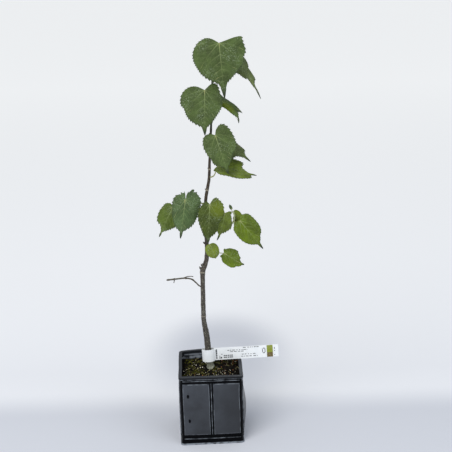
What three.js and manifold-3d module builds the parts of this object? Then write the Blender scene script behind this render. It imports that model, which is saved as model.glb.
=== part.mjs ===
// A young linden tree, one stem with single heart-shaped leaves, growing in a square plastic
// nursery pot with a tag looped round the stem. Millimetres, +Z up. The origin is the centre of
// the pot's underside, -Y is the side that most leaves face, and +X is the side the tag points to.

import * as THREE from 'three';
import { mergeVertices } from 'three/addons/utils/BufferGeometryUtils.js';
import Module from 'manifold-3d';

const wasm = await Module();
wasm.setup();

// ------------------------------------------------------------------ driving sizes

const GAP = 0.3;                     // air left between pieces that touch or grow together on the real plant

const POT = {
  height: 100,
  footHalf: 41.8,                    // half width of the wall's skin at the underside
  topHalf: 43.0,                     // and at the rim
  wall: 1.1,
  floor: 1.6,
  corner: 3.0,
  bulge: 2.6,                        // how far the soil pushes the soft walls out
  bulgeHeight: 38,                   // where it pushes most
  bulgeReach: 30,
  lean: -1.6,                        // the rim stands this far to one side of the foot
};
const LIP = { half: 44.5, corner: 5.5, depth: 3.4, edge: 0.6 };
const FOOT = { half: 42.8, height: 2.8, edge: 0.6 };
const PANEL = { bottom: 14, top: 88.4, proud: 1.1, outer: 38.7, inner: 3.4, bevel: 0.4 };
const RIDGE = { proud: 0.8, half: 0.9 };
const RIBS = { proud: 0.8, height: 2.0, bevel: 0.5, foots: [7.4, 10.6, 90.8, 93.6] };
const DRAIN = { radius: 4.5, offset: 27, sides: 16 };

const SOIL = { clearance: 0.8, wallHeight: 87, moundHeight: 92.5, flatRadius: 9, moundSteps: [0.3, 0.6, 1] };
const INSIDE = [
  POT.bulgeHeight / 2, POT.bulgeHeight, (POT.bulgeHeight + SOIL.wallHeight) / 2, SOIL.wallHeight,
];

const TAG = {
  height: 19, thickness: 0.9, loopAcross: 8.3, loopDeep: 6.2, tailEnd: 94, bottom: 104.1, tilt: 2.5, loopSteps: 26,
};

const LEAF = {
  thickness: 0.9,
  notch: 0.985,                      // the outline stops just short of the notch, so the lobes stay apart
  shoulderSpread: 18,                // degrees off the midrib over which a shoulder and a drip tip fade
  tailSpread: 4,
  notchFade: 20,                     // and over which both have gone before the notch
  curlFrom: 0.7,                     // the share of its length where a drip tip starts to curl
  stalkUnder: 7,                     // how far the stalk runs on under the blade
  steps: 11, spread: 1.6, rings: 3, ribSteps: 24,
};
const PETIOLE = { root: 1.05, end: 0.75, clear: 0.2, level: 1.6, arch: 0.3, rise: 0.25 };

// Steps along each kind of limb, and sides round it.
const DETAIL = { stem: [54, 10], twig: [14, 6], sideTwig: [3, 5], shoot: [16, 7], stalk: [7, 6] };

// Stem centre line: x, y, z and radius, from the flat cut at soil level to the tip.
const STEM = [
  [-1.6, 5.0, SOIL.moundHeight + GAP, 6.4], [-2.2, 4.6, 95, 5.0], [-4.2, 3.0, 116, 4.4],
  [-6.3, 2.0, 144, 4.0], [-9.3, 0.8, 166, 3.3], [-9.4, 0, 205, 3.0], [-9.2, 0, 229, 3.2], [-8.9, 0, 237, 3.7],
  [-5.4, 0, 246, 3.1], [-2.6, 0, 262, 2.8], [-2.8, 0, 302, 2.5], [-2.5, 0, 332, 2.2],
  [-0.6, 0, 347, 2.1], [2.8, 0, 365, 1.95], [4.4, 0, 391, 1.75], [7.0, -0.5, 431, 1.5],
  [9.2, -1, 464, 1.3], [10.2, -1.5, 494, 1.15], [12.0, -2.5, 522, 0.9],
];
const STEM_FOOT = 3;

// The bare twig on the left, its stub and its spur, and the leafy shoot on the right.
const TWIG = {
  main: [[-13.7, -0.5, 215.8], [-15, -0.9, 216.8], [-19.8, -2.2, 222.4], [-24.7, -3.5, 226.8],
    [-34.5, -5, 228.8], [-48, -6, 227.9], [-57.5, -6, 227]],
  mainRadii: [1.2, 0.75],
  stub: [[-35.5, -5, 229], [-29.5, -6, 231.4], [-23, -7.5, 232.1]],
  spur: [[-47, -6, 228], [-48.2, -6.5, 224.3]],
  sideRadii: [0.7, 0.6],
};
const SHOOT = {
  main: [[0.8, 0.6, 290.6], [2.6, 0.8, 290.8], [9, 1.8, 292.4], [17, 2.6, 294.6], [27, 3.4, 298],
    [33.5, 4, 303.5], [35.6, 4, 311], [34, 4, 318.6]],
  radii: [1.4, 0.95],
};

// One row a leaf, from the top down. base is where the stalk meets the blade, tip the end of the
// drip tip, and faces the compass and height angles that the upper side looks to. left and right
// are the half blades of a leaf that hangs facing the viewer: half width, the angle that the basal
// lobe reaches back to, its roundness, and how far its shoulder runs into the tip. tail is the
// drip tip's share of the length. fold and cup turn the half blades back, droop bends the blade
// over its length and curl its drip tip. limb and from say what carries the stalk, and where.
const LEAVES = [
  { name: 'leaf_01', base: [20, -24, 543.5], tip: [25.5, -28, 478.5], faces: [-90, 5],
    left: [36.5, 130, 0.5, 0.1], right: [34.5, 107, 0.25, 0.2], tail: 0.19,
    droop: 20, curl: 0, fold: 8, cup: 20, limb: 'stem', from: 518 },
  { name: 'leaf_02', base: [0.5, -18, 484.5], tip: [-0.5, -22, 429], faces: [-90, 5],
    left: [33, 120, 0.5, 0.08], right: [24, 128, 0.4, 0.08], tail: 0.14,
    droop: 20, curl: 0, fold: 8, cup: 20, limb: 'stem', from: 460 },
  { name: 'leaf_03', base: [34.5, 8, 534], tip: [71.5, -10, 471], faces: [-35, 30],
    left: [23, 140, 0.5, 0.1], right: [17, 140, 0.5, 0.1], tail: 0.2,
    droop: 20, curl: 0, fold: 4, cup: 15, limb: 'stem', from: 500 },
  { name: 'leaf_04', base: [16.5, 12, 470.5], tip: [41, -4, 439], faces: [-60, 60],
    left: [15, 115, 0.5, 0.02], right: [21, 140, 0.3, 0.02], tail: 0.16,
    droop: 20, curl: 80, fold: 8, cup: 20, limb: 'stem', from: 452 },
  { name: 'leaf_05', base: [12.5, -22, 427], tip: [28, -31, 379], faces: [-90, 10],
    left: [20, 118, 0.4, 0.08], right: [24.5, 152, 0.5, 0.08], tail: 0.14,
    droop: 20, curl: 0, fold: 8, cup: 20, limb: 'stem', from: 424 },
  { name: 'leaf_06', base: [21, 8, 414], tip: [57, -6, 389], faces: [-70, 50],
    left: [18, 140, 0.5, 0.04], right: [18, 140, 0.5, 0.04], tail: 0.18,
    droop: 20, curl: 0, fold: 8, cup: 20, limb: 'stem', from: 400 },
  { name: 'leaf_07', base: [14, -5, 382.5], tip: [64.5, -9, 370.5], faces: [-90, 69],
    left: [25, 100, 0.2, 0.03], right: [21, 130, 0.6, 0.03], tail: 0.13,
    droop: 20, curl: -15, fold: -11, cup: 5, limb: 'stem', from: 368 },
  { name: 'leaf_08', base: [-28.5, -14, 341], tip: [-36.5, -20, 291], faces: [-90, 10],
    left: [17, 130, 0.45, 0.04], right: [22.5, 175, 0.6, 0.04], tail: 0.15,
    droop: 20, curl: 0, fold: 8, cup: 20, limb: 'stem', from: 332 },
  { name: 'leaf_09', base: [-46.5, 6, 326.5], tip: [-66, -2, 287], faces: [-100, 10],
    left: [15.5, 112, 0.45, 0.04], right: [18, 140, 0.5, 0.04], tail: 0.15,
    droop: 20, curl: 0, fold: 8, cup: 20, limb: 'stem', from: 312 },
  { name: 'leaf_10', base: [3.5, -22, 336], tip: [0, -28, 285], faces: [-90, 10],
    left: [15.8, 115, 0.4, 0.1], right: [20, 145, 0.6, 0.1], tail: 0.12,
    droop: 20, curl: 0, fold: 8, cup: 20, limb: 'stem', from: 322 },
  { name: 'leaf_11', base: [23, -8, 320], tip: [12.5, -12, 287], faces: [-60, 10],
    left: [12, 120, 0.4, 0.03], right: [17, 115, 0.35, 0.03], tail: 0.18,
    droop: 20, curl: 20, fold: 8, cup: 20, limb: 'shoot', from: 296 },
  { name: 'leaf_12', base: [36.5, 10, 312], tip: [49, 14, 307], faces: [-90, 40],
    left: [9, 140, 0.5, 0.1], right: [10.5, 140, 0.5, 0.1], tail: 0.2,
    droop: 20, curl: 0, fold: 8, cup: 20, limb: 'shoot', from: 309 },
  { name: 'leaf_13', base: [42.5, -6, 308.5], tip: [71, -14, 273.5], faces: [-90, 20],
    left: [15.5, 105, 0.35, 0.03], right: [17.5, 118, 0.4, 0.03], tail: 0.13,
    droop: 20, curl: 0, fold: 8, cup: 20, limb: 'shoot', from: 305 },
  { name: 'leaf_14', base: [5.5, -10, 275.5], tip: [6, -22, 260.5], faces: [-90, 40],
    left: [10, 165, 0.6, 0.05], right: [10, 165, 0.6, 0.05], tail: 0.05,
    droop: 20, curl: 0, fold: 8, cup: 20, limb: 'stem', from: 271 },
  { name: 'leaf_15', base: [20.5, -8, 264], tip: [46.5, -14, 250], faces: [-90, 30],
    left: [11.5, 110, 0.35, 0.02], right: [12.5, 120, 0.5, 0.02], tail: 0.17,
    droop: 0, curl: -90, fold: 8, cup: 20, limb: 'stem', from: 264 },
  { name: 'leaf_16_young', base: [32.2, 4, 321.6], tip: [29, 4, 328.6], faces: [-90, 20],
    left: [2.2, 100, 0.5, 0.1], right: [2.2, 100, 0.5, 0.1], tail: 0.1,
    droop: 0, curl: 0, fold: 40, cup: 20, limb: 'shoot', from: 318 },
];

// ------------------------------------------------------------------ materials

const finish = (color, roughness) => new THREE.MeshStandardMaterial({ color, roughness, metalness: 0 });
const MATERIAL = {
  pot: finish('#2e333a', 0.45),
  soil: finish('#2b2418', 0.95),
  tag: finish('#eef2f0', 0.5),
  bark: finish('#6f6a58', 0.8),
  shoot: finish('#7f8a5a', 0.7),
  darkLeaf: finish('#4a5f38', 0.6),
  brightLeaf: finish('#6c7f2c', 0.6),
};
const BRIGHT = new Set(['leaf_07', 'leaf_09', 'leaf_10', 'leaf_12', 'leaf_13', 'leaf_14', 'leaf_15']);

// ------------------------------------------------------------------ solid building

const radians = THREE.MathUtils.degToRad;
const vector = (point) => new THREE.Vector3(...point);

function geometryOf(points, triangles) {
  const geometry = new THREE.BufferGeometry();
  geometry.setAttribute('position', new THREE.Float32BufferAttribute(points.flatMap((p) => p.toArray()), 3));
  geometry.setIndex(triangles);
  return mergeVertices(geometry, 1e-4);
}

// Merging can leave triangles with two corners alike, where a row of points has shrunk to one.
function solidOf(geometry) {
  const index = geometry.index.array;
  const kept = [];
  for (let i = 0; i < index.length; i += 3) {
    const [a, b, c] = [index[i], index[i + 1], index[i + 2]];
    if (a !== b && b !== c && c !== a) kept.push(a, b, c);
  }
  return new wasm.Manifold(new wasm.Mesh({
    numProp: 3,
    vertProperties: new Float32Array(geometry.attributes.position.array),
    triVerts: new Uint32Array(kept),
  }));
}

function geometryFrom(solid) {
  const mesh = solid.getMesh();
  const geometry = new THREE.BufferGeometry();
  geometry.setAttribute('position', new THREE.BufferAttribute(new Float32Array(mesh.vertProperties), 3));
  geometry.setIndex(new THREE.BufferAttribute(new Uint32Array(mesh.triVerts), 1));
  return geometry;
}

// A closed skin through rings of equally many points, each end closed by a fan. Rings turn
// anticlockwise seen from the end that the skin grows towards.
function loft(rings) {
  const sides = rings[0].length;
  const points = rings.flat();
  const triangles = [];
  for (let r = 0; r + 1 < rings.length; r += 1) {
    for (let s = 0; s < sides; s += 1) {
      const a = r * sides + s;
      const b = r * sides + (s + 1) % sides;
      triangles.push(a, b, b + sides, a, b + sides, a + sides);
    }
  }
  const addFan = (ring, start, facesBack) => {
    const middle = points.length;
    points.push(ring.reduce((sum, p) => sum.add(p), new THREE.Vector3()).divideScalar(sides));
    for (let s = 0; s < sides; s += 1) {
      const a = start + s;
      const b = start + (s + 1) % sides;
      triangles.push(middle, facesBack ? b : a, facesBack ? a : b);
    }
  };
  addFan(rings[0], 0, true);
  addFan(rings[rings.length - 1], (rings.length - 1) * sides, false);
  return geometryOf(points, triangles);
}

// A tapering limb along a smooth line through the points, with the radius at each share of its length.
function limb(points, radiusAt, [steps, sides]) {
  const line = new THREE.CatmullRomCurve3(points.map(vector), false, 'catmullrom', 0.5);
  const frames = line.computeFrenetFrames(steps, false);
  const rings = [];
  for (let i = 0; i <= steps; i += 1) {
    const middle = line.getPointAt(i / steps);
    const radius = radiusAt(i / steps, middle);
    rings.push(Array.from({ length: sides }, (_, s) => {
      const angle = (s / sides) * Math.PI * 2;
      return middle.clone()
        .addScaledVector(frames.normals[i], Math.cos(angle) * radius)
        .addScaledVector(frames.binormals[i], Math.sin(angle) * radius);
    }));
  }
  return loft(rings);
}

const between = ([from, to]) => (share) => THREE.MathUtils.lerp(from, to, share);

// ------------------------------------------------------------------ pot and soil

const bulgeAt = (z) => POT.bulge * Math.exp(-(((z - POT.bulgeHeight) / POT.bulgeReach) ** 2));
const skinAt = (z) => THREE.MathUtils.lerp(POT.footHalf, POT.topHalf, z / POT.height);

// Places across one side where the outline may step: the panels' edges, the groove and its ridge.
const ACROSS = [
  -PANEL.outer, -PANEL.outer + PANEL.bevel, -(PANEL.outer + PANEL.inner) / 2,
  -PANEL.inner, -PANEL.inner + PANEL.bevel, -RIDGE.half, 0,
];
const STATIONS = [...ACROSS, ...ACROSS.slice(0, -1).map((t) => -t).reverse()];
const CORNER_TURNS = [30, 60];

// How far the outline stands proud at a place across a side: panels, the ridge between them, or ribs.
function proudAt(across, row) {
  const t = Math.abs(across);
  if (row.rib) return t < PANEL.outer ? row.rib : 0;
  if (!row.panel) return 0;
  if (t === 0) return RIDGE.proud;
  return t >= PANEL.inner && t < PANEL.outer ? PANEL.proud : 0;
}

function potRing(row) {
  const { z, half, corner = POT.corner } = row;
  const ring = [];
  for (let side = 0; side < 4; side += 1) {
    const turn = side * Math.PI / 2;
    const place = (x, y) => ring.push(new THREE.Vector3(
      x * Math.cos(turn) - y * Math.sin(turn) + POT.lean * (z / POT.height),
      x * Math.sin(turn) + y * Math.cos(turn),
      z,
    ));
    for (const across of STATIONS) {
      const swell = bulgeAt(z) * (1 - (across / PANEL.outer) ** 2);
      place(across, -(half + swell + proudAt(across, row)));
    }
    for (const degrees of CORNER_TURNS) {
      const angle = radians(degrees);
      place(half - corner * (1 - Math.sin(angle)), -(half - corner * (1 - Math.cos(angle))));
    }
  }
  return ring;
}

function potRows() {
  const rows = [
    { z: 0, half: FOOT.half - FOOT.edge },
    { z: FOOT.edge, half: FOOT.half },
    { z: FOOT.height, half: FOOT.half },
  ];
  const addRib = (foot) => [[0, 0], [RIBS.bevel, RIBS.proud], [RIBS.height - RIBS.bevel, RIBS.proud],
    [RIBS.height, 0]].forEach(([up, rib]) => rows.push({ z: foot + up, half: skinAt(foot + up), rib }));
  const addPanels = () => [[PANEL.bottom, false], [PANEL.bottom + PANEL.bevel, true],
    [POT.bulgeHeight, true], [(POT.bulgeHeight + PANEL.top) / 2, true], [PANEL.top - PANEL.bevel, true],
    [PANEL.top, false]].forEach(([z, panel]) => rows.push({ z, half: skinAt(z), panel }));

  rows.push({ z: FOOT.height + FOOT.edge, half: skinAt(FOOT.height) });
  RIBS.foots.slice(0, 2).forEach(addRib);
  addPanels();
  RIBS.foots.slice(2).forEach(addRib);
  const lipFoot = POT.height - LIP.depth;
  rows.push({ z: lipFoot, half: skinAt(lipFoot) });
  rows.push({ z: lipFoot + LIP.edge, half: LIP.half, corner: LIP.corner });
  rows.push({ z: POT.height - LIP.edge, half: LIP.half, corner: LIP.corner });
  rows.push({ z: POT.height, half: LIP.half - LIP.edge, corner: LIP.corner });

  for (const z of [POT.floor, ...INSIDE, POT.height].reverse()) {
    rows.push({ z, half: skinAt(z) - POT.wall });
  }
  return rows;
}

function pot() {
  let solid = solidOf(loft(potRows().map(potRing)));
  for (const [sx, sy] of [[-1, -1], [1, -1], [1, 1], [-1, 1]]) {
    const hole = new THREE.CylinderGeometry(DRAIN.radius, DRAIN.radius, 4 * POT.floor, DRAIN.sides);
    hole.rotateX(Math.PI / 2);
    hole.translate(sx * DRAIN.offset, sy * DRAIN.offset, 0);
    hole.deleteAttribute('normal');
    hole.deleteAttribute('uv');
    solid = solid.subtract(solidOf(mergeVertices(hole)));
  }
  return geometryFrom(solid);
}

// The soil fills the pot just clear of its walls, and rises to a flat place under the stem's cut.
function soil() {
  const filling = (z) => potRing({ z, half: skinAt(z) - POT.wall - SOIL.clearance });
  const rings = [POT.floor + SOIL.clearance, ...INSIDE].map(filling);
  const edge = rings[rings.length - 1];
  const foot = new THREE.Vector3(STEM[0][0], STEM[0][1], SOIL.moundHeight);
  for (const share of SOIL.moundSteps) {
    rings.push(edge.map((p) => {
      const away = p.clone().sub(foot).setZ(0);
      const reach = THREE.MathUtils.lerp(away.length(), SOIL.flatRadius, share);
      const spot = foot.clone().addScaledVector(away.normalize(), reach);
      spot.z = THREE.MathUtils.lerp(SOIL.wallHeight, SOIL.moundHeight, Math.sin(share * Math.PI / 2));
      return spot;
    }));
  }
  return loft(rings);
}

// ------------------------------------------------------------------ tag

// Seen from above the tag is an oval ring round the stem, and a double tail that leaves it on the right.
function tag() {
  const middle = limbPoint(stemLine, TAG.bottom + TAG.height / 2).point;
  const [across, deep] = [TAG.loopAcross + TAG.thickness, TAG.loopDeep + TAG.thickness];
  const half = TAG.thickness;
  const split = Math.asin(half / deep);
  const shape = new THREE.Shape();
  shape.absellipse(middle.x, middle.y, across, deep, split, Math.PI * 2 - split, false);
  shape.lineTo(TAG.tailEnd, middle.y - half);
  shape.lineTo(TAG.tailEnd, middle.y + half);
  shape.closePath();
  const inside = new THREE.Path();
  inside.absellipse(middle.x, middle.y, TAG.loopAcross, TAG.loopDeep, 0, Math.PI * 2, true);
  shape.holes.push(inside);
  const geometry = new THREE.ExtrudeGeometry(shape, {
    depth: TAG.height, bevelEnabled: false, curveSegments: TAG.loopSteps,
  });
  geometry.translate(-middle.x, -middle.y, 0);
  geometry.rotateY(-radians(TAG.tilt));
  geometry.translate(middle.x, middle.y, TAG.bottom);
  geometry.deleteAttribute('normal');
  geometry.deleteAttribute('uv');
  return geometryFrom(solidOf(mergeVertices(geometry)));
}

// ------------------------------------------------------------------ stem, twig and shoot

const stemLine = new THREE.CatmullRomCurve3(STEM.map((p) => vector(p.slice(0, 3))), false, 'catmullrom', 0.5);
const shootLine = new THREE.CatmullRomCurve3(SHOOT.main.map(vector), false, 'catmullrom', 0.5);

function stemRadiusAt(z) {
  const above = STEM.findIndex((p) => p[2] >= z);
  const next = above < 0 ? STEM.length - 1 : Math.max(1, above);
  const [low, high] = [STEM[next - 1], STEM[next]];
  return THREE.MathUtils.mapLinear(z, low[2], high[2], low[3], high[3]);
}

// The point and direction of a line where it first reaches a height. Both lines rise all the way.
function limbPoint(line, height) {
  let [low, high] = [0, 1];
  for (let i = 0; i < 30; i += 1) {
    const half = (low + high) / 2;
    if (line.getPointAt(half).z < height) low = half; else high = half;
  }
  return { point: line.getPointAt(low), along: line.getTangentAt(low), share: low };
}

function stem() {
  const [x, y, z] = STEM[0];
  // The line starts below the soil, so that the cut at soil level is flat all round.
  const points = [[x, y, z - STEM_FOOT], ...STEM.map((p) => p.slice(0, 3))];
  const solid = solidOf(limb(points, (_, p) => stemRadiusAt(p.z), DETAIL.stem));
  return geometryFrom(solid.trimByPlane([0, 0, 1], z));
}

function twig() {
  const parts = [
    limb(TWIG.main, between(TWIG.mainRadii), DETAIL.twig),
    limb(TWIG.stub, between(TWIG.sideRadii), DETAIL.sideTwig),
    limb(TWIG.spur, between(TWIG.sideRadii), DETAIL.sideTwig),
  ].map(solidOf);
  return geometryFrom(parts.reduce((sum, part) => sum.add(part)));
}

const shoot = () => limb(SHOOT.main, between(SHOOT.radii), DETAIL.shoot);

// ------------------------------------------------------------------ leaves

// Length from the stalk to the outline, as a share of the leaf's length, at an angle off the midrib.
function reachAt(angle, [, lobe, roundness, shoulder], tail) {
  const body = (1 - tail - shoulder) * Math.cos((Math.PI / 2) * Math.min(angle / lobe, 1)) ** roundness;
  const fade = THREE.MathUtils.clamp((lobe - angle) / LEAF.notchFade, 0, 1);
  const point = shoulder * Math.exp(-angle / LEAF.shoulderSpread) + tail * Math.exp(-angle / LEAF.tailSpread);
  return body + point * fade;
}

function widestAt(half, tail) {
  let widest = 0;
  for (let angle = 0; angle < half[1]; angle += 1) {
    widest = Math.max(widest, reachAt(angle, half, tail) * Math.sin(radians(angle)));
  }
  return widest;
}

// The midrib bends by droop over its length, and its last third by curl as well. The bent line is
// turned so that it runs from the base to the tip, and measured in shares of that distance.
function midrib({ droop, curl }) {
  const pieces = LEAF.ribSteps;
  const angles = Array.from({ length: pieces + 1 }, (_, i) => {
    const share = i / pieces;
    return radians(droop) * share
      + radians(curl) * Math.max(0, (share - LEAF.curlFrom) / (1 - LEAF.curlFrom));
  });
  const line = [[0, 0]];
  for (let i = 0; i < pieces; i += 1) {
    const angle = (angles[i] + angles[i + 1]) / 2;
    line.push([line[i][0] + Math.cos(angle) / pieces, line[i][1] - Math.sin(angle) / pieces]);
  }
  const [endAlong, endUp] = line[pieces];
  const chord = Math.hypot(endAlong, endUp);
  const [c, s] = [endAlong / chord, endUp / chord];
  return (share) => {
    const place = THREE.MathUtils.clamp(share, 0, 1) * pieces;
    const i = Math.min(Math.floor(place), pieces - 1);
    const mix = (from, to) => THREE.MathUtils.lerp(from, to, place - i);
    const [along, up] = [mix(line[i][0], line[i + 1][0]), mix(line[i][1], line[i + 1][1])];
    const angle = mix(angles[i], angles[i + 1]) + Math.atan2(s, c);
    const back = Math.min(share, 0);
    return {
      along: (along * c + up * s) / chord + back * Math.cos(angle),
      up: (up * c - along * s) / chord - back * Math.sin(angle),
      angle,
    };
  };
}

// Turns a place on the flat blade, as an angle off the midrib and a share of the way out, into space.
function bladePlacer(leaf) {
  const base = vector(leaf.base);
  const along = vector(leaf.tip).sub(base);
  const length = along.length();
  along.normalize();
  const [compass, height] = leaf.faces.map(radians);
  const face = new THREE.Vector3(
    Math.cos(compass) * Math.cos(height), Math.sin(compass) * Math.cos(height), Math.sin(height),
  );
  face.addScaledVector(along, -face.dot(along)).normalize();
  const side = along.clone().cross(face);
  const rib = midrib(leaf);
  const widest = { left: widestAt(leaf.left, leaf.tail), right: widestAt(leaf.right, leaf.tail) };
  const cup = radians(leaf.cup) / Math.max(leaf.left[0], leaf.right[0]) + 1e-9;
  const fold = radians(leaf.fold);

  return {
    face,
    at(angle, out) {
      const hand = angle >= 0 ? 'left' : 'right';
      const reach = reachAt(Math.abs(angle), leaf[hand], leaf.tail) * out;
      const across = reach * Math.sin(radians(Math.abs(angle))) * leaf[hand][0] / widest[hand];
      const spot = rib(reach * Math.cos(radians(angle)));
      const sideways = (Math.sin(fold + cup * across) - Math.sin(fold)) / cup;
      const down = (Math.cos(fold + cup * across) - Math.cos(fold)) / cup;
      return base.clone()
        .addScaledVector(side, Math.sign(angle) * sideways)
        .addScaledVector(along, spot.along * length + down * Math.sin(spot.angle))
        .addScaledVector(face, spot.up * length + down * Math.cos(spot.angle));
    },
  };
}

// A blade is a fan of ribs from the stalk, crossed by rings that repeat the outline, given thickness.
function blade(leaf) {
  const placer = bladePlacer(leaf);
  const columns = 2 * LEAF.steps;
  const rows = LEAF.rings;
  const shift = placer.face.clone().multiplyScalar(LEAF.thickness / 2);
  const [upper, lower] = [[], []];
  for (let c = 0; c <= columns; c += 1) {
    const turn = (c / LEAF.steps - 1) * LEAF.notch;
    const lobe = turn >= 0 ? leaf.left[1] : leaf.right[1];
    const angle = Math.sign(turn) * Math.abs(turn) ** LEAF.spread * lobe;
    for (let r = 0; r <= rows; r += 1) {
      const point = placer.at(angle, r / rows);
      upper.push(point.clone().add(shift));
      lower.push(point.sub(shift));
    }
  }
  const count = upper.length;
  const at = (c, r) => c * (rows + 1) + r;
  const triangles = [];
  const quad = (a, b, c, d) => triangles.push(a, b, c, a, c, d);
  for (let c = 0; c < columns; c += 1) {
    for (let r = 0; r < rows; r += 1) {
      const [a, b, d, e] = [at(c, r), at(c + 1, r), at(c + 1, r + 1), at(c, r + 1)];
      quad(a, b, d, e);
      quad(count + a, count + e, count + d, count + b);
    }
    quad(at(c, rows), at(c + 1, rows), count + at(c + 1, rows), count + at(c, rows));
  }
  for (let r = 0; r < rows; r += 1) {
    quad(at(0, r), at(0, r + 1), count + at(0, r + 1), count + at(0, r));
    quad(at(columns, r + 1), at(columns, r), count + at(columns, r), count + at(columns, r + 1));
  }
  return solidOf(geometryOf([...upper, ...lower], triangles));
}

// The stalk leaves its limb level, a gap clear of it, and runs on under the blade along the midrib.
function stalk(leaf) {
  const onStem = leaf.limb === 'stem';
  const carrier = limbPoint(onStem ? stemLine : shootLine, leaf.from);
  const radius = onStem ? stemRadiusAt(leaf.from) : between(SHOOT.radii)(carrier.share);
  const base = vector(leaf.base);
  const away = base.clone().sub(carrier.point);
  away.addScaledVector(carrier.along, -away.dot(carrier.along)).normalize();
  const start = carrier.point.clone().addScaledVector(away, radius + GAP + PETIOLE.clear);
  const collar = start.clone().addScaledVector(away, PETIOLE.level);
  const elbow = start.clone().addScaledVector(away, base.distanceTo(start) * PETIOLE.arch)
    .lerp(base, PETIOLE.rise);
  const under = bladePlacer(leaf).at(0, LEAF.stalkUnder / vector(leaf.tip).distanceTo(base));
  const points = [start, collar, elbow, base, under].map((p) => p.toArray());
  return solidOf(limb(points, between([PETIOLE.root, PETIOLE.end]), DETAIL.stalk));
}

const leafGeometry = (leaf) => geometryFrom(blade(leaf).add(stalk(leaf)));

// ------------------------------------------------------------------ the plant

const plant = new THREE.Group();
const add = (name, geometry, material) => {
  const mesh = new THREE.Mesh(geometry, material);
  mesh.name = name;
  plant.add(mesh);
};

add('pot', pot(), MATERIAL.pot);
add('soil', soil(), MATERIAL.soil);
add('tag', tag(), MATERIAL.tag);
add('stem', stem(), MATERIAL.bark);
add('twig_left', twig(), MATERIAL.bark);
add('shoot_right', shoot(), MATERIAL.shoot);
for (const leaf of LEAVES) {
  add(leaf.name, leafGeometry(leaf), BRIGHT.has(leaf.name) ? MATERIAL.brightLeaf : MATERIAL.darkLeaf);
}

export default plant;
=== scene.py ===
"""A young linden tree in a square nursery pot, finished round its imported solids.

Every length in the tables below is in millimetres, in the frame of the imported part: +Z up, the
origin at the centre of the pot's underside, -Y the side that most leaves face.
"""

import math
import random

import bmesh
import bpy
import numpy as np
from bpy.props import FloatProperty, FloatVectorProperty, IntProperty, PointerProperty
from bpy.types import Operator, Panel, PropertyGroup
from mathutils import Matrix, Vector, noise


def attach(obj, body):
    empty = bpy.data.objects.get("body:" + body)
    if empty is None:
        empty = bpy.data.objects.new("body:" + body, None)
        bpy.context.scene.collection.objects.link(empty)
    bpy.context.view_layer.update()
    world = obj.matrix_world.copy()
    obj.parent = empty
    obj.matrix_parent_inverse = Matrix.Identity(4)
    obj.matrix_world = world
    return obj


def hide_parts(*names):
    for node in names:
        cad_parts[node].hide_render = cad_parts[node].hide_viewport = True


bl_info = {
    "name": "Young Linden in a Nursery Pot",
    "version": (1, 0, 0),
    "blender": (4, 5, 0),
    "location": "View3D > Sidebar > Linden",
    "description": "Builds a young linden tree with its leaves, bark, tag, soil and pot",
    "category": "Add Mesh",
}

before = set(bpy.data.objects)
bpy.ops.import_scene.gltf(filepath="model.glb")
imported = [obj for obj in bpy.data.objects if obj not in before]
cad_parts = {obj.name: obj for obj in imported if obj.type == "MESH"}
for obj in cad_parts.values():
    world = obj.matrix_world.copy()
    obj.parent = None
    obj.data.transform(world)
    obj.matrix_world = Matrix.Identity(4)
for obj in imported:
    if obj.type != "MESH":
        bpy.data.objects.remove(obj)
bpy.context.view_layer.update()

MM = 0.001
ROOT = "root"

# ---------------------------------------------------------------- sizes that the solids share

POT = {
    "height": 100, "foot_half": 43.0, "foot_deep": 44.8, "top_half": 42.6, "straight_half": 42.4,
    "wall": 1.1, "sunk": 0.9, "corner": 2.7, "corner_steps": 5, "bulge": 1.6, "bulge_left": -0.8,
    "bulge_right": 5.6, "bulge_height": 38, "bulge_reach": 30, "lean": -1.2, "shift": -1.0,
    "foot_shift": -1.6, "turn": 1.6, "twist": 1.4, "cell": 6, "warp_wave": 26,
}
# highlight: strength of the painted highlight on an edge. unshaded: share spared by painted shade.
LIP = {"proud": 1.5, "depth": 4.3, "edge": 0.6, "rub": 2.6, "worn": 0.35}
# Width of the strip beside a raised edge that gets a painted highlight.
HIGHLIGHT_STRIP = 0.7
FOOT = {"proud": 1.0, "height": 2.8, "edge": 0.5, "rub": 1.7}
PANEL = {"bottom": 14.8, "top": 90.0, "proud": 1.1, "outer": 38.7, "inner": 2.1, "bevel": 0.8}
RIDGE = {"proud": 0.2, "half": 0.6, "bevel": 0.25}
RIBS = {"proud": 0.8, "height": 1.3, "bevel": 0.4, "feet": (8.6, 93.1)}
RIM = {"width": 1.1, "below": 1.2, "back_rise": 1.8, "back_arch": 2.6, "back_reach": 1.0}
# The inside: a little painted shade, and two bands at the back with a painted highlight.
INSIDE = {"worn": 0.95, "lines": ((90.8, 92.4), (94.6, 96.5)), "rub": 3.0, "from": 35}
# Each moulded pit: a ring that stands out, its flat top, and its floor, dark with painted shade.
# A step is the inset, the height that it rises by, and its lightness, 0 where shade is painted.
DIMPLES = {
    "places": ((-31.2, 72.5), (-30.6, 36.5)), "radius": 2.3, "stretch": 1.5, "proud": 0.05,
    "steps": ((0.3, 0.5, 1.0), (0.3, 0, 1.0), (0.2, -0.45, 0.0)),
}

SOIL = {
    "floor": 2.4, "wall_height": 87, "mound_height": 92.5, "flat_radius": 9, "half": 40.6,
    "slope": 3.2, "dip": 1.2, "cells": 110, "levels": (60, 38, 20), "margin": 2.5, "clumps": 34,
}

TAG = {
    "height": 18, "loop_across": 8.75, "loop_deep": 6.65, "tail_end": 94, "bottom": 103.9,
    "tilt": 2.5, "parting": 0.45, "back_drop": 2.2, "wave": 0.35, "wave_length": 13, "cells": 150,
}

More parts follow.
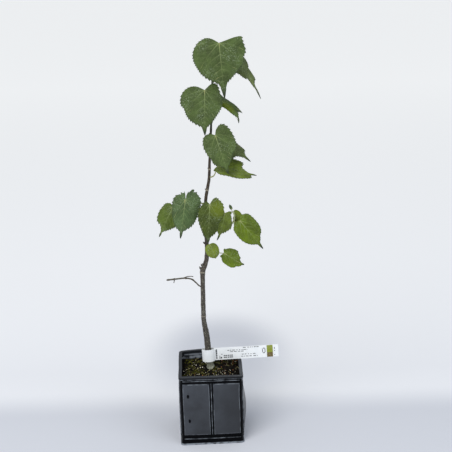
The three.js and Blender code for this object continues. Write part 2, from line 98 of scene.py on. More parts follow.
# Stem centre line: x, y, z and radius, from the flat cut at soil level to the tip.
STEM = (
    (-1.6, 5.0, 92.8, 6.4), (-2.2, 4.6, 95, 5.0), (-4.2, 3.0, 116, 4.4), (-6.3, 2.0, 144, 4.0),
    (-9.3, 0.8, 166, 3.3), (-9.4, 0, 205, 3.0), (-9.2, 0, 229, 3.2), (-8.9, 0, 237, 3.7),
    (-5.4, 0, 246, 3.1), (-2.6, 0, 262, 2.8), (-2.8, 0, 302, 2.5), (-2.5, 0, 332, 2.2),
    (-0.6, 0, 347, 2.1), (2.8, 0, 365, 1.95), (4.4, 0, 391, 1.75), (7.0, -0.5, 431, 1.5),
    (9.2, -1, 464, 1.3), (10.2, -1.5, 494, 1.15), (12.0, -2.5, 522, 0.9),
)
TWIG = {
    "main": ((-10.5, -0.2, 213.2), (-13.7, -0.5, 215.8), (-15, -0.9, 216.8),
             (-19.8, -2.2, 222.4), (-24.7, -3.5, 226.8), (-34.5, -5, 228.8), (-48, -6, 227.9),
             (-57.5, -6, 227)),
    "main_radii": (0.95, 1.1),
    "stub": ((-35.5, -5, 229), (-29.5, -6, 231.4), (-23, -7.5, 232.1)),
    "spur": ((-47, -6, 228), (-48.2, -6.5, 224.3)),
    "side_radii": (0.7, 0.5), "step": 0.8, "knot_reach": 0.012,
}
SHOOT = {
    "main": ((-2, 0.4, 290.4), (0.8, 0.6, 290.6), (2.6, 0.8, 290.8), (9, 1.8, 292.4),
             (17, 2.6, 294.6), (27, 3.4, 298), (33.5, 4, 303.5), (35.6, 4, 311), (34, 4, 318.6)),
    "radii": (1.45, 0.95), "step": 0.9, "swell": 0.35, "swell_reach": 1.2,
}
LEAF = {
    "notch": 0.985, "shoulder_spread": 18, "tail_spread": 2.2, "notch_fade": 20, "curl_from": 0.7,
    "stalk_under": 7, "rib_steps": 24, "tip_half": 0.85, "tip_round": 0.03, "tip_spread": 0.3,
    "tip_from": 0.3, "full_size": 40,
}
PETIOLE = {
    "root": 0.85, "end": 0.58, "sunk": 0.5, "level": 2.1, "arch": 0.3, "rise": 0.25, "shoot": 0.5,
    "foot_swell": 0.35, "end_swell": 0.15, "swell_reach": 3, "step": 1.1, "sides": 10,
}


def spec(name, base, tip, faces, left, right, tail, carrier, tint, bend=(20, 0, 8, 20), glow=None,
         dents=()):
    """A leaf's sizes by their names."""
    return dict(name=name, base=base, tip=tip, faces=faces, left=left, right=right, tail=tail,
                bend=bend, carrier=carrier, tint=tint, glow=glow, dents=dents)


# One row a leaf. base is where the stalk meets the blade, tip the end of the drip tip, and faces
# the compass and height angles that the upper side looks to. left and right are the half blades:
# half width, the angle that the basal lobe reaches back to, its roundness, and its shoulder. tail
# is the drip tip's share. bend is droop, curl, fold and cup. carrier is the limb and the height
# that the stalk leaves it at. tint names its colour: lightened is a paler copy of mature, painted
# light, and deep a darker colour, painted shade. glow is a patch of painted light, as if shining
# through the blade: its place across and along the blade as shares, and its reach in millimetres.
# dents are where the outline strays from the rule: the angle off the midrib, the share it stands
# out or in, and the angle that it fades over.
LEAVES = (
    spec("leaf_01", base=(20, -24, 543.5), tip=(25.5, -28, 478.5), faces=(-90, 5),
         left=(36.5, 130, 0.5, 0.1), right=(34.5, 109, 0.25, 0.2), tail=0.19,
         carrier=("stem", 518), tint="mature",
         dents=((-104, 0.34, 6), (-94, 0.06, 5), (-56, -0.07, 7), (109, -0.06, 9))),
    spec("leaf_02", base=(0.5, -18, 484.5), tip=(-0.5, -22, 429), faces=(-90, 5),
         left=(33, 120, 0.5, 0.08), right=(24, 128, 0.4, 0.08), tail=0.14,
         carrier=("stem", 460), tint="mature",
         dents=((-88, -0.11, 16), (-38, -0.06, 20), (48, -0.07, 9), (83, 0.04, 9),
                (108, -0.06, 8))),
    spec("leaf_03", base=(34.5, 8, 534), tip=(71.5, -10, 471), faces=(-35, 30),
         left=(23, 140, 0.5, 0.1), right=(17, 140, 0.5, 0.1), tail=0.2,
         bend=(20, 0, 4, 15), carrier=("stem", 500), tint="dusty",
         dents=((16, -0.13, 12), (-9, -0.07, 8), (-41, -0.15, 8), (38, -0.11, 9))),
    spec("leaf_04", base=(16.5, 12, 470.5), tip=(41, -4, 439), faces=(-60, 60),
         left=(15, 115, 0.5, 0.02), right=(21, 140, 0.3, 0.02), tail=0.16,
         bend=(20, 80, 8, 20), carrier=("stem", 452), tint="mature", glow=(0.15, 0.38, 10),
         dents=((38, -0.42, 24), (-43, 0.22, 6), (-62, -0.24, 14), (-90, -0.2, 20),
                (-18, -0.12, 12))),
    spec("leaf_05", base=(12.5, -22, 427), tip=(28, -31, 379), faces=(-90, 10),
         left=(20, 118, 0.4, 0.08), right=(24.5, 152, 0.5, 0.08), tail=0.14,
         carrier=("stem", 424), tint="mature",
         dents=((-143, -0.22, 9), (-98, -0.06, 20), (-32, -0.1, 13), (29, 0.04, 9),
                (41, -0.04, 5), (111, -0.2, 7))),
    spec("leaf_06", base=(21, 8, 414), tip=(57, -6, 389), faces=(-70, 50),
         left=(18, 140, 0.5, 0.04), right=(18, 140, 0.5, 0.04), tail=0.18,
         carrier=("stem", 400), tint="dusty",
         dents=((-62, -0.16, 12), (-15, -0.07, 9), (23, -0.12, 12))),
    spec("leaf_07", base=(14, -5, 382.5), tip=(64.5, -9, 370.5), faces=(-90, 69),
         left=(25, 100, 0.2, 0.03), right=(21, 130, 0.6, 0.03), tail=0.13,
         bend=(20, -15, -11, 5), carrier=("stem", 368), tint="young",
         dents=((-18, -0.22, 15), (24, 0.14, 16), (89, -0.35, 8))),
    spec("leaf_08", base=(-28.5, -14, 341), tip=(-36.5, -20, 291), faces=(-90, 10),
         left=(17.5, 167, 0.6, 0.04), right=(22.5, 177, 0.6, 0.04), tail=0.15,
         carrier=("stem", 332), tint="bluish",
         dents=((-109, -0.12, 6), (-126, -0.2, 9), (-153, -0.28, 10), (-60, -0.05, 45),
                (62, -0.05, 6), (112, -0.38, 12), (136, -0.45, 14))),
    spec("leaf_09", base=(-46.5, 6, 326.5), tip=(-66, -2, 287), faces=(-100, 10),
         left=(15.5, 112, 0.45, 0.04), right=(18, 140, 0.5, 0.04), tail=0.15,
         carrier=("stem", 312), tint="olive",
         dents=((18, -0.14, 16), (67, 0.04, 10), (101, -0.23, 8), (-22, -0.07, 20))),
    spec("leaf_10", base=(3.5, -22, 336), tip=(0, -28, 285), faces=(-90, 10),
         left=(15.8, 115, 0.4, 0.1), right=(20, 145, 0.6, 0.1), tail=0.12,
         carrier=("stem", 322), tint="deep", glow=(-0.6, 0.1, 12),
         dents=((-42, -0.16, 13), (-108, -0.09, 12), (12, 0.06, 12), (100, -0.35, 20))),
    spec("leaf_11", base=(23, -8, 320), tip=(12.5, -12, 287), faces=(-60, 10),
         left=(12, 120, 0.4, 0.03), right=(17, 115, 0.35, 0.03), tail=0.18,
         bend=(20, 20, 8, 20), carrier=("shoot", 296), tint="young",
         dents=((-54, 0.16, 13), (-88, -0.2, 9))),
    spec("leaf_12", base=(36.5, 10, 312), tip=(49, 14, 307), faces=(-90, 40),
         left=(9, 140, 0.5, 0.1), right=(10.5, 140, 0.5, 0.1), tail=0.2,
         carrier=("shoot", 309), tint="lime"),
    spec("leaf_13", base=(42.5, -6, 308.5), tip=(71, -14, 273.5), faces=(-90, 20),
         left=(15.5, 105, 0.35, 0.03), right=(17.5, 118, 0.4, 0.03), tail=0.13,
         carrier=("shoot", 305), tint="fresh",
         dents=((-66, 0.06, 24), (-104, -0.2, 8), (-25, -0.05, 9), (62, 0.08, 22),
                (91, -0.2, 6))),
    spec("leaf_14", base=(2, -10, 278), tip=(9.5, -20, 260.5), faces=(-90, 40),
         left=(9.8, 105, 0.8, 0.03), right=(9.9, 105, 0.8, 0.03), tail=0.04,
         carrier=("stem", 271), tint="lime"),
    spec("leaf_15", base=(20.5, -8, 264), tip=(46.5, -14, 250), faces=(-90, 30),
         left=(11.5, 110, 0.35, 0.02), right=(12.5, 120, 0.5, 0.02), tail=0.17,
         bend=(0, -90, 8, 20), carrier=("stem", 264), tint="fresh",
         dents=((-56, 0.17, 10), (-92, -0.3, 14), (-15, -0.08, 8), (46, 0.12, 14),
                (90, -0.3, 9), (12, 0.06, 8))),
    spec("leaf_16_young", base=(32.2, 4, 321.6), tip=(29, 4, 328.6), faces=(-90, 20),
         left=(3.2, 100, 0.5, 0.1), right=(3.2, 100, 0.5, 0.1), tail=0.1,
         bend=(0, 0, 40, 20), carrier=("shoot", 318), tint="bluish"),
)

# ---------------------------------------------------------------- sizes that only the finish has

# How far each leaf's drip tip runs on past that of its solid.
DRIP_TIPS = {
    "leaf_01": 4.6, "leaf_02": 2.8, "leaf_03": 4.2, "leaf_04": 2.8, "leaf_05": 1.5, "leaf_06": 2,
    "leaf_07": 3.4, "leaf_08": 2.6, "leaf_09": 3.2, "leaf_11": 4, "leaf_13": 3.6, "leaf_15": 0.8,
}
# The youngest leaves, named by their tints, have shallower teeth.
SHALLOW_TEETH = {"fresh": 0.5, "lime": 0.5}
LEAF_TINTS = ("mature", "bluish", "dusty", "olive", "deep", "young", "fresh", "lime")
# Veins: degrees off the midrib and strength of those that start at the stalk, then the share of
# the midrib that each side vein leaves at and the degrees that it runs out to, then the shares of
# a basal vein that its branches leave at.
BASAL_VEINS = ((49, 0.9), (80, 0.7), (106, 0.35))
SIDE_VEINS = ((0.2, 38), (0.33, 27), (0.46, 18.5), (0.58, 12), (0.69, 7.5))
VEIN_BRANCHES = (0.32, 0.52, 0.72)

# Heights of the scars round the stem and how plainly each shows, and the buds: height, compass
# angle on the stem, length.
SCARS = (
    (171.6, 0.55), (235.4, 0.8), (303, 0.3), (349.9, 1), (378.2, 1), (402, 0.4), (424.8, 0.9),
    (447, 0.4), (481, 0.4),
)
BUDS = (
    (239.4, 188, 6.0), (243.2, 172, 5.2), (246.2, 200, 3.6), (275.5, 190, 5.0), (303.0, 20, 2.6),
    (350.2, 190, 2.8), (378.4, 160, 2.4), (424.9, 200, 2.4), (171.8, 175, 1.8),
)
# The twig's buds: place, the way each points, and length. Its knots: share of its length, swelling.
TWIG_BUDS = (
    ((-22.5, -8.2, 232), (1, -0.2, 0.2), 2.2), ((-57.0, -6, 226.9), (-1, 0, 0.1), 3.2),
    ((-48.2, -6.6, 223.9), (-0.4, 0, -1), 2.4), ((-47, -6, 229), (-1, 0.1, 0.5), 2.0),
)
TWIG_KNOTS = ((0.0, 0.0), (0.33, 0.35), (0.52, 0.5), (0.84, 0.3), (0.97, 0.3))


def linear(hex_colour):
    """Turns an sRGB hex colour into the linear red, green, blue and alpha that shaders take."""
    shares = [int(hex_colour[i:i + 2], 16) / 255 for i in (1, 3, 5)]
    return (*[c / 12.92 if c <= 0.04045 else ((c + 0.055) / 1.055) ** 2.4 for c in shares], 1.0)


def colour(name, description, hex_colour):
    """A colour property whose default is an sRGB hex colour."""
    return FloatVectorProperty(
        name=name, description=description, subtype="COLOR", size=4, min=0, max=1,
        default=linear(hex_colour),
    )


def length(name, description, millimetres):
    """A length property whose default is given in millimetres."""
    return FloatProperty(
        name=name, description=description, min=0, default=millimetres * MM, unit="LENGTH",
        precision=5,
    )


def count(name, description, default, least=0):
    """A property that counts things."""
    return IntProperty(name=name, description=description, default=default, min=least)


def amount(name, description, default):
    """A property that is a plain number."""
    return FloatProperty(name=name, description=description, default=default, min=0)


class LindenLeafSettings(PropertyGroup):
    """What a user would change on the leaves."""

    thickness: length("Thickness", "Thickness of a blade", 0.35)
    tooth_depth: length("Tooth depth", "Height of the teeth along the edge", 2.1)
    tooth_spacing: length("Tooth spacing", "Distance between teeth along the edge", 4.0)
    quilting: length("Quilting", "How far the blade swells between its veins", 0.8)
    vein_width: length("Vein width", "Half the width of the pale band along a main vein", 0.5)
    cell: length("Cell", "Side of the mesh's cells on a blade", 0.62)
    mature: colour("Mature", "Colour of a mature leaf", "#44552a")
    bluish: colour("Bluish", "Colour of a mature leaf with a bloom", "#455a35")
    # lightened is painted light: a paler copy of mature, for leaves that lie behind others.
    dusty: colour("Dusty", "Colour of a paler mature leaf", "#566237")
    olive: colour("Olive", "Colour of a half grown leaf", "#4e601e")
    deep: colour("Deep", "Colour of a half grown leaf in the shade", "#3a4710")
    young: colour("Young", "Colour of a younger leaf", "#647424")
    fresh: colour("Fresh", "Colour of a fresh leaf", "#556808")
    lime: colour("Lime", "Colour of the palest leaves", "#69791a")
    # glow is painted light, as if shining through a leaf.
    glow: colour("Glow", "Colour of a patch that lets light through", "#5e6c06")
    vein: colour("Vein", "Colour of the veins", "#9fae74")
    bloom: colour("Bloom", "Colour of the dusty specks", "#8d9c80")
    edge: colour("Edge", "Colour of the teeth and drip tips", "#363f2c")
    underside: colour("Underside", "Colour of the underside", "#7b8a60")
    stalk: colour("Stalk", "Colour of a leaf stalk", "#93985c")


class LindenBarkSettings(PropertyGroup):
    """What a user would change on the stem and twigs."""

    relief: length("Relief", "Depth of the bark's furrows", 0.3)
    step: length("Step", "Distance between the stem's rings of points", 0.7)
    sides: count("Sides", "Points round the stem", 28, least=8)
    foot: colour("Foot", "Colour of the stem's foot", "#8d9080")
    low: colour("Low", "Colour of the older bark", "#443f38")
    high: colour("High", "Colour of the younger bark", "#392e22")
    tip: colour("Tip", "Colour of this year's bark", "#3c4a30")
    lichen: colour("Lichen", "Colour of the specks on the bark", "#a3a48f")
    ring: colour("Ring", "Colour of the scars round the stem", "#b3ab98")
    twig: colour("Twig", "Colour of the bare twig", "#3f3a33")
    shoot: colour("Shoot", "Colour of the green shoot", "#aab287")


class LindenPotSettings(PropertyGroup):
    """What a user would change on the pot."""

    softness: length("Edge radius", "Rounding of the moulded edges", 0.35)
    warp: length("Warp", "How far the thin walls stray from flat", 0.55)
    body: colour("Body", "Colour of the plastic where it is worn", "#202328")
    # deep is painted shade: the colour of the grooves, the pits and a little of the inside.
    deep: colour("Deep", "Colour of the plastic in the grooves and inside", "#06070a")
    # dust is real dust and a painted sheen at once.
    dust: colour("Dust", "Colour of the dust on the plastic", "#444951")
    # edge_highlight is a painted highlight on the edges that stand out.
    edge_highlight: colour("Scuff", "Colour of the plastic on rubbed edges", "#8b929b")


class LindenSoilSettings(PropertyGroup):
    """What a user would change on the soil."""

    crumble: length("Crumble", "Height of the soil's crumbs", 2.2)
    chips: count("Chips", "Number of bark chips", 360)
    grit: count("Grit", "Number of white grains", 115)
    moss: count("Moss", "Number of moss tufts", 370)
    straw: count("Straw", "Number of straws", 48)
    peat: colour("Peat", "Colour of the peat", "#060504")
    bark: colour("Bark", "Colour of the bark chips", "#1d150d")
    splinter: colour("Splinters", "Colour of the pine splinters", "#8a5c38")
    grain: colour("Grain", "Colour of the grit", "#cfcab4")
    green: colour("Moss", "Colour of the moss", "#57561b")
    stalk: colour("Straw", "Colour of the straws", "#a39b6a")


class LindenTagSettings(PropertyGroup):
    """What a user would change on the tag."""

    thickness: length("Thickness", "Thickness of the film", 0.35)
    film: colour("Film", "Colour of the film", "#fafcfd")
    ink: colour("Ink", "Colour of the marks", "#3e4348")
    block: colour("Block", "Colour of the block's upper part", "#8c9620")
    block_foot: colour("Block foot", "Colour of the block's lower part", "#6b5a26")


class LindenStageSettings(PropertyGroup):
    """What a user would change round the plant."""

    glow_start: length("Glow distance", "From the pot's middle back to where the glow starts", 40)
    glow: colour("Glow", "Colour of the sheet's glow", "#f7f6ef")
    glow_near: amount("Glow near", "Strength of the glow close behind the plant", 0.21)
    glow_far: amount("Glow far", "Strength of the glow far behind the plant", 0.56)
    floor: colour("Floor", "Colour of the sheet", "#e7eaf2")
    key: amount("Key light", "Power of the main light in watts", 24)
    fill: amount("Fill light", "Power of the second light in watts", 8)
    sky: amount("Ambient", "Strength of the light from all round", 0.46)


# ---------------------------------------------------------------- helpers


class Stuff:
    """A material in the making. Each call adds a node and gives one of its outputs.

    A value may be a number, a colour or the output of another node.
    """

    FACTOR, COLOUR_A, COLOUR_B, COLOUR_OUT = 0, 6, 7, 2

    def __init__(self, name):
        self.material = bpy.data.materials.new(name)
        self.material.use_nodes = True
        self.tree = self.material.node_tree

    def give(self, node, values):
        """Sets a node's values, or links them to other nodes."""
        for key, value in values.items():
            if isinstance(value, bpy.types.NodeSocket):
                self.tree.links.new(value, node.inputs[key])
            elif hasattr(node, str(key)):
                setattr(node, key, value)
            else:
                node.inputs[key].default_value = value

    def add(self, kind, out, **values):
        """Adds a node whose properties and inputs are given by their names."""
        return self.add_with(kind, out, values)

    def add_with(self, kind, out, values):
        """Adds a node whose inputs may have numbers or spaced words for names."""
        node = self.tree.nodes.new("ShaderNode" + kind)
        self.give(node, values)
        return node.outputs[out]

    @property
    def place(self):
        """Where the shaded point lies, in metres."""
        return self.add("TexCoord", "Object")

    def axis(self, letter):
        """How far along one axis the shaded point lies."""
        return self.add("SeparateXYZ", letter, Vector=self.place)

    def layer(self, name):
        """What the mesh says of the shaded point."""
        return self.add("Attribute", "Fac", attribute_name=name)

    def cloud(self, scale, detail, roughness=0.5, at=None):
        """A cloudy noise with a number of waves to the metre."""
        return self.add("TexNoise", "Fac", Scale=scale, Detail=detail, Roughness=roughness,
                        Vector=at or self.place)

    def ramp(self, value, start, end, low=0.0, high=1.0, kind="LINEAR"):
        """A value carried from one range to another, whose ends it keeps to."""
        return self.add_with("MapRange", "Result", {
            "interpolation_type": kind, "Value": value, "From Min": start, "From Max": end,
            "To Min": low, "To Max": high,
        })

    def maths(self, operation, first, second, **more):
        """Two numbers reckoned together."""
        return self.add_with("Math", "Value", {"operation": operation, 0: first, 1: second, **more})

    def vectors(self, operation, first, second, out="Vector"):
        """Two places or colours reckoned together."""
        return self.add_with("VectorMath", out, {"operation": operation, 0: first, 1: second})

    def mix(self, first, second, share):
        """One colour blended into another."""
        return self.add_with("Mix", self.COLOUR_OUT, {
            "data_type": "RGBA", self.COLOUR_A: first, self.COLOUR_B: second, self.FACTOR: share,
        })

    def finish(self, base, roughness, specular=0.5, bump=(), **more):
        """Sets the surface and gives the material. A bump is its height, strength and depth."""
        surface = {"Base Color": base, "Roughness": roughness, "Specular IOR Level": specular}
        if bump:
            height, strength, depth = bump
            surface["Normal"] = self.add("Bump", "Normal", Height=height, Strength=strength,
                                         Distance=depth)
        surface.update((key.replace("_", " "), value) for key, value in more.items())
        self.give(self.tree.nodes["Principled BSDF"], surface)
        return self.material


def finish_mesh(name, bm, materials, crease=40.0):
    """Turns millimetres into metres and a bmesh into a piece that rides on the plant's body."""
    bmesh.ops.scale(bm, vec=(MM, MM, MM), verts=bm.verts)
    mesh = bpy.data.meshes.new(name)
    bm.to_mesh(mesh)
    bm.free()
    for material in materials:
        mesh.materials.append(material)
    mesh.shade_smooth()
    mesh.set_sharp_from_angle(angle=math.radians(crease))
    piece = bpy.data.objects.new(name, mesh)
    bpy.context.scene.collection.objects.link(piece)
    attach(piece, ROOT)
    return piece


def smooth_line(points, per_span=14):
    """Points along the smooth line through the given ones, which it passes in turn."""
    knots = [Vector(p[:3]) for p in points]
    knots = [2 * knots[0] - knots[1], *knots, 2 * knots[-1] - knots[-2]]
    line = []
    for a, b, c, d in zip(knots, knots[1:], knots[2:], knots[3:]):
        for i in range(per_span):
            t = i / per_span
            line.append(0.5 * (2 * b + (c - a) * t + (2 * a - 5 * b + 4 * c - d) * t * t
                               + (3 * b - a - 3 * c + d) * t ** 3))
    line.append(knots[-2])
    return line


def shares_of(line):
    """How far along the line each of its points lies, as a share of its length."""
    steps = [0.0]
    for a, b in zip(line, line[1:]):
        steps.append(steps[-1] + (b - a).length)
    return [s / steps[-1] for s in steps], steps[-1]


def resample(line, step):
    """The same line with its points a step apart."""
    shares, total = shares_of(line)
    count = max(2, round(total / step))
    wanted = np.linspace(0, 1, count + 1)
    columns = [np.interp(wanted, shares, [p[i] for p in line]) for i in range(3)]
    return [Vector(p) for p in zip(*columns)]


def extrude(bm, edges):
    """Extrudes a loop of edges. Returns the new loop's vertices and its edges."""
    made = bmesh.ops.extrude_edge_only(bm, edges=edges)["geom"]
    verts = [part for part in made if isinstance(part, bmesh.types.BMVert)]
    fresh = set(verts)
    return verts, [part for part in made if isinstance(part, bmesh.types.BMEdge)
                   and part.verts[0] in fresh and part.verts[1] in fresh]


def facing(direction):
    """The turn that points a thing's Z axis in a direction."""
    return Vector(direction).to_track_quat("Z", "Y").to_matrix().to_4x4()


def tube(bm, line, radii, sides):
    """Carries a ring along a line by extrusion. Returns each ring's vertices with its centre."""
    ring = bmesh.ops.create_circle(bm, cap_ends=True, radius=1.0, segments=sides)["verts"]
    edges = list(dict.fromkeys(edge for vert in ring for edge in vert.link_edges))
    steps = [(b - a).normalized() for a, b in zip(line, line[1:])]
    tangents = [steps[0], *[(a + b).normalized() for a, b in zip(steps, steps[1:])], steps[-1]]
    turn = tangents[0].to_track_quat("Z", "Y")
    before = Matrix.Identity(4)
    rings = []
    for i, (point, tangent, radius) in enumerate(zip(line, tangents, radii)):
        if i:
            turn = tangents[i - 1].rotation_difference(tangent) @ turn
            ring, edges = extrude(bm, edges)
        size = Matrix.Diagonal((radius, radius, 1, 1))
        place = Matrix.Translation(point) @ turn.to_matrix().to_4x4() @ size
        bmesh.ops.transform(bm, matrix=place @ before.inverted(), verts=ring)
        before = place
        rings.append((ring, point))
    bmesh.ops.contextual_create(bm, geom=edges)
    return rings


def rough_tube(bm, line, radii, sides, height, grain):
    """A tube whose skin strays in and out by a height, over waves of a length."""
    for ring, centre in tube(bm, line, radii, sides):
        for vert in ring:
            away = (vert.co - centre).normalized()
            vert.co += away * height * noise.noise(vert.co / grain)


def tapered(radii, line):
    """Radii along a line, from its first to its last."""
    return [radii[0] + (radii[1] - radii[0]) * share for share in shares_of(line)[0]]


def add_to(bm, part):
    """Adds one bmesh to another and frees it."""
    mesh = bpy.data.meshes.new("part")
    part.to_mesh(mesh)
    part.free()
    bm.from_mesh(mesh)
    bpy.data.meshes.remove(mesh)


# ---------------------------------------------------------------- stage


# Metres, apart from the camera's place in millimetres, its lens and sensor, and its angles.
STAGE = {"half": 40.0, "fade": 0.09, "near": 0.2, "far": 4.0}
# The painted shadow: its middle, its reach each way, and where it is full and where it ends.
PAINTED_SHADOW = {"middle": (0.01, 0.268, 0.0), "reach": (0.1, 0.156, 1.0), "full": 0.45, "none": 1.5}
CAMERA = {
    "place": (24.0, -1200.0, 632.5), "down": 15.5, "roll": -1.2, "lens": 73.88, "sensor": 36,
    "near": 0.05,
}
# Each lamp's name, which is also the setting of its power, its place, its width and its tone.
LAMPS = (
    ("key", (-0.75, -1.35, 1.55), 1.3, (1.0, 0.985, 0.96)),
    ("fill", (1.3, -1.1, 0.95), 1.4, (0.94, 0.97, 1.0)),
)
LIT_MIDDLE = (0, 0, 0.25)
SKY = "#eef3fa"


class LINDEN_OT_stage(Operator):
    """Makes the camera, the lights and the pale backdrop"""

    bl_idname = "linden.stage"
    bl_label = "Stage"

    def execute(self, context):
        settings = context.scene.linden_stage
        context.scene.view_settings.view_transform = "Standard"
        make_camera(context)
        make_backdrop(settings)
        make_lights(context, settings)
        return {"FINISHED"}


def make_camera(context):
    """The camera, which looks a little down at the plant."""
    data = bpy.data.cameras.new("camera")
    data.lens = CAMERA["lens"]
    data.sensor_width = CAMERA["sensor"]
    data.clip_start = CAMERA["near"]
    camera = bpy.data.objects.new("camera", data)
    level = Matrix.Rotation(math.radians(90 - CAMERA["down"]), 4, "X")
    roll = Matrix.Rotation(math.radians(CAMERA["roll"]), 4, "Z")
    camera.matrix_world = Matrix.Translation(Vector(CAMERA["place"]) * MM) @ level @ roll
    context.scene.collection.objects.link(camera)
    context.scene.camera = camera


def make_backdrop(settings):
    """A flat sheet far wider than the view, which glows behind the plant, so no wall hides it."""
    bm = bmesh.new()
    bmesh.ops.create_grid(bm, x_segments=1, y_segments=1, size=STAGE["half"])
    mesh = bpy.data.meshes.new("backdrop")
    bm.to_mesh(mesh)
    bm.free()
    mesh.materials.append(opal_acrylic(settings))
    sheet = bpy.data.objects.new("backdrop", mesh)
    bpy.context.scene.collection.objects.link(sheet)


def opal_acrylic(settings):
    """Opal acrylic on a light table: matt, so it takes soft shadows and shows no gloss."""
    stuff = Stuff("opal_acrylic_sheet")
    # The lamps under it start behind the pot, and get stronger by the same step each time the way
    # doubles.
    depth, start = stuff.axis("Y"), settings.glow_start
    begun = stuff.ramp(depth, start, start + STAGE["fade"], kind="SMOOTHSTEP")
    doublings = stuff.maths("LOGARITHM", depth, 2.0)
    further = stuff.ramp(doublings, math.log2(STAGE["near"]), math.log2(STAGE["far"]),
                         settings.glow_near, settings.glow_far)
    # A soft painted shadow of the pot and the plant dims the glow on the sheet behind them.
    aside = stuff.vectors("SUBTRACT", stuff.place, PAINTED_SHADOW["middle"])
    scaled = stuff.vectors("DIVIDE", aside, PAINTED_SHADOW["reach"])
    away = stuff.vectors("DISTANCE", scaled, (0, 0, 0), out="Value")
    lit = stuff.ramp(away, PAINTED_SHADOW["full"], PAINTED_SHADOW["none"], kind="SMOOTHSTEP")
    strength = stuff.maths("MULTIPLY", stuff.maths("MULTIPLY", begun, further), lit)
    return stuff.finish(settings.floor, 0.9, 0.1, Emission_Color=settings.glow,
                        Emission_Strength=strength)


def make_lights(context, settings):
    """Two wide soft lights and a pale light from all round."""
    for name, place, size, tone in LAMPS:
        data = bpy.data.lights.new(name, "AREA")
        data.energy, data.size, data.color = getattr(settings, name), size, tone
        lamp = bpy.data.objects.new(name, data)
        lamp.location = place
        aim = Vector(LIT_MIDDLE) - Vector(place)
        lamp.rotation_euler = aim.to_track_quat("-Z", "Y").to_euler()
        context.scene.collection.objects.link(lamp)
    world = bpy.data.worlds.new("studio")
    world.use_nodes = True
    background = world.node_tree.nodes["Background"]
    background.inputs["Color"].default_value = linear(SKY)
    background.inputs["Strength"].default_value = settings.sky
    context.scene.world = world


# ---------------------------------------------------------------- pot


class LINDEN_OT_pot(Operator):
    """Makes the square nursery pot with its panels, ribs and lip"""

    bl_idname = "linden.pot"
    bl_label = "Pot"

    def execute(self, context):
        settings = context.scene.linden_pot
        bm = bmesh.new()
        bm.verts.layers.float.new("worn")
        bm.verts.layers.float.new("rubbed")
        shape_pot(bm)
        add_dimples(bm)
        warp_pot(bm, settings.warp / MM)
        piece = finish_mesh("pot_body", bm, [pot_plastic(settings)], crease=25)
        bevel = piece.modifiers.new("moulded_edges", "BEVEL")
        bevel.width = settings.softness
        bevel.segments = 2
        bevel.limit_method = "ANGLE"
        bevel.angle_limit = math.radians(28)
        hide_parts("pot")
        return {"FINISHED"}


def cut(bm, along, places):
    """Cuts the mesh square to an axis at each place."""
    normal = Vector([float(axis == along) for axis in range(3)])
    for place in places:
        bmesh.ops.bisect_plane(bm, geom=bm.verts[:] + bm.edges[:] + bm.faces[:], dist=1e-4,
                               plane_co=normal * place, plane_no=normal)


def raise_region(bm, low, high, inner, outer, proud, edge):
    """Raises a rectangle of each side, between two heights and two distances across it."""
    for turn in range(4):
        angle = turn * math.pi / 2
        out = Vector((round(math.sin(angle)), -round(math.cos(angle)), 0))
        across = Vector((-out.y, out.x, 0))
        faces = []
        for face in bm.faces:
            middle = face.calc_center_median()
            inside = low < middle.z < high and inner < middle.dot(across) < outer
            if inside and face.normal.dot(out) > 0.9:
                faces.append(face)
        raise_faces(bm, faces, proud, edge)


def raise_faces(bm, faces, proud, slope, rub=1.0):
    """Raises faces over a slope of a width, marking their edge for a painted highlight."""
    bmesh.ops.inset_region(bm, faces=faces, thickness=slope, depth=proud + POT["sunk"],
                           use_even_offset=True, use_boundary=False)
    rubbed, raised = bm.verts.layers.float["rubbed"], set(faces)
    for edge in {edge for face in faces for edge in face.edges}:
        if any(face not in raised for face in edge.link_faces):
            for vert in edge.verts:
                vert[rubbed] = rub


def add_dimples(bm):
    """Two small moulded rings with a pit in each, on the left panel of the front."""
    worn = bm.verts.layers.float["worn"]
    wall = -POT["straight_half"] - PANEL["proud"] - DIMPLES["proud"]
    upright = Matrix.Rotation(math.pi / 2, 4, "X") @ Matrix.Diagonal((1, DIMPLES["stretch"], 1, 1))
    for x, z in DIMPLES["places"]:
        verts = bmesh.ops.create_circle(
            bm, cap_ends=True, radius=DIMPLES["radius"], segments=16,
            matrix=Matrix.Translation((x, wall, z)) @ upright,
        )["verts"]
        faces = list(dict.fromkeys(face for vert in verts for face in vert.link_faces))
        for vert in verts:
            vert[worn] = 1.0
        # The pit's floor gets the deep colour as painted shade.
        for inset, rise, lightness in DIMPLES["steps"]:
            bmesh.ops.inset_region(bm, faces=faces, thickness=inset, depth=rise, use_boundary=True)
            for vert in {vert for face in faces for vert in face.verts}:
                vert[worn] = lightness


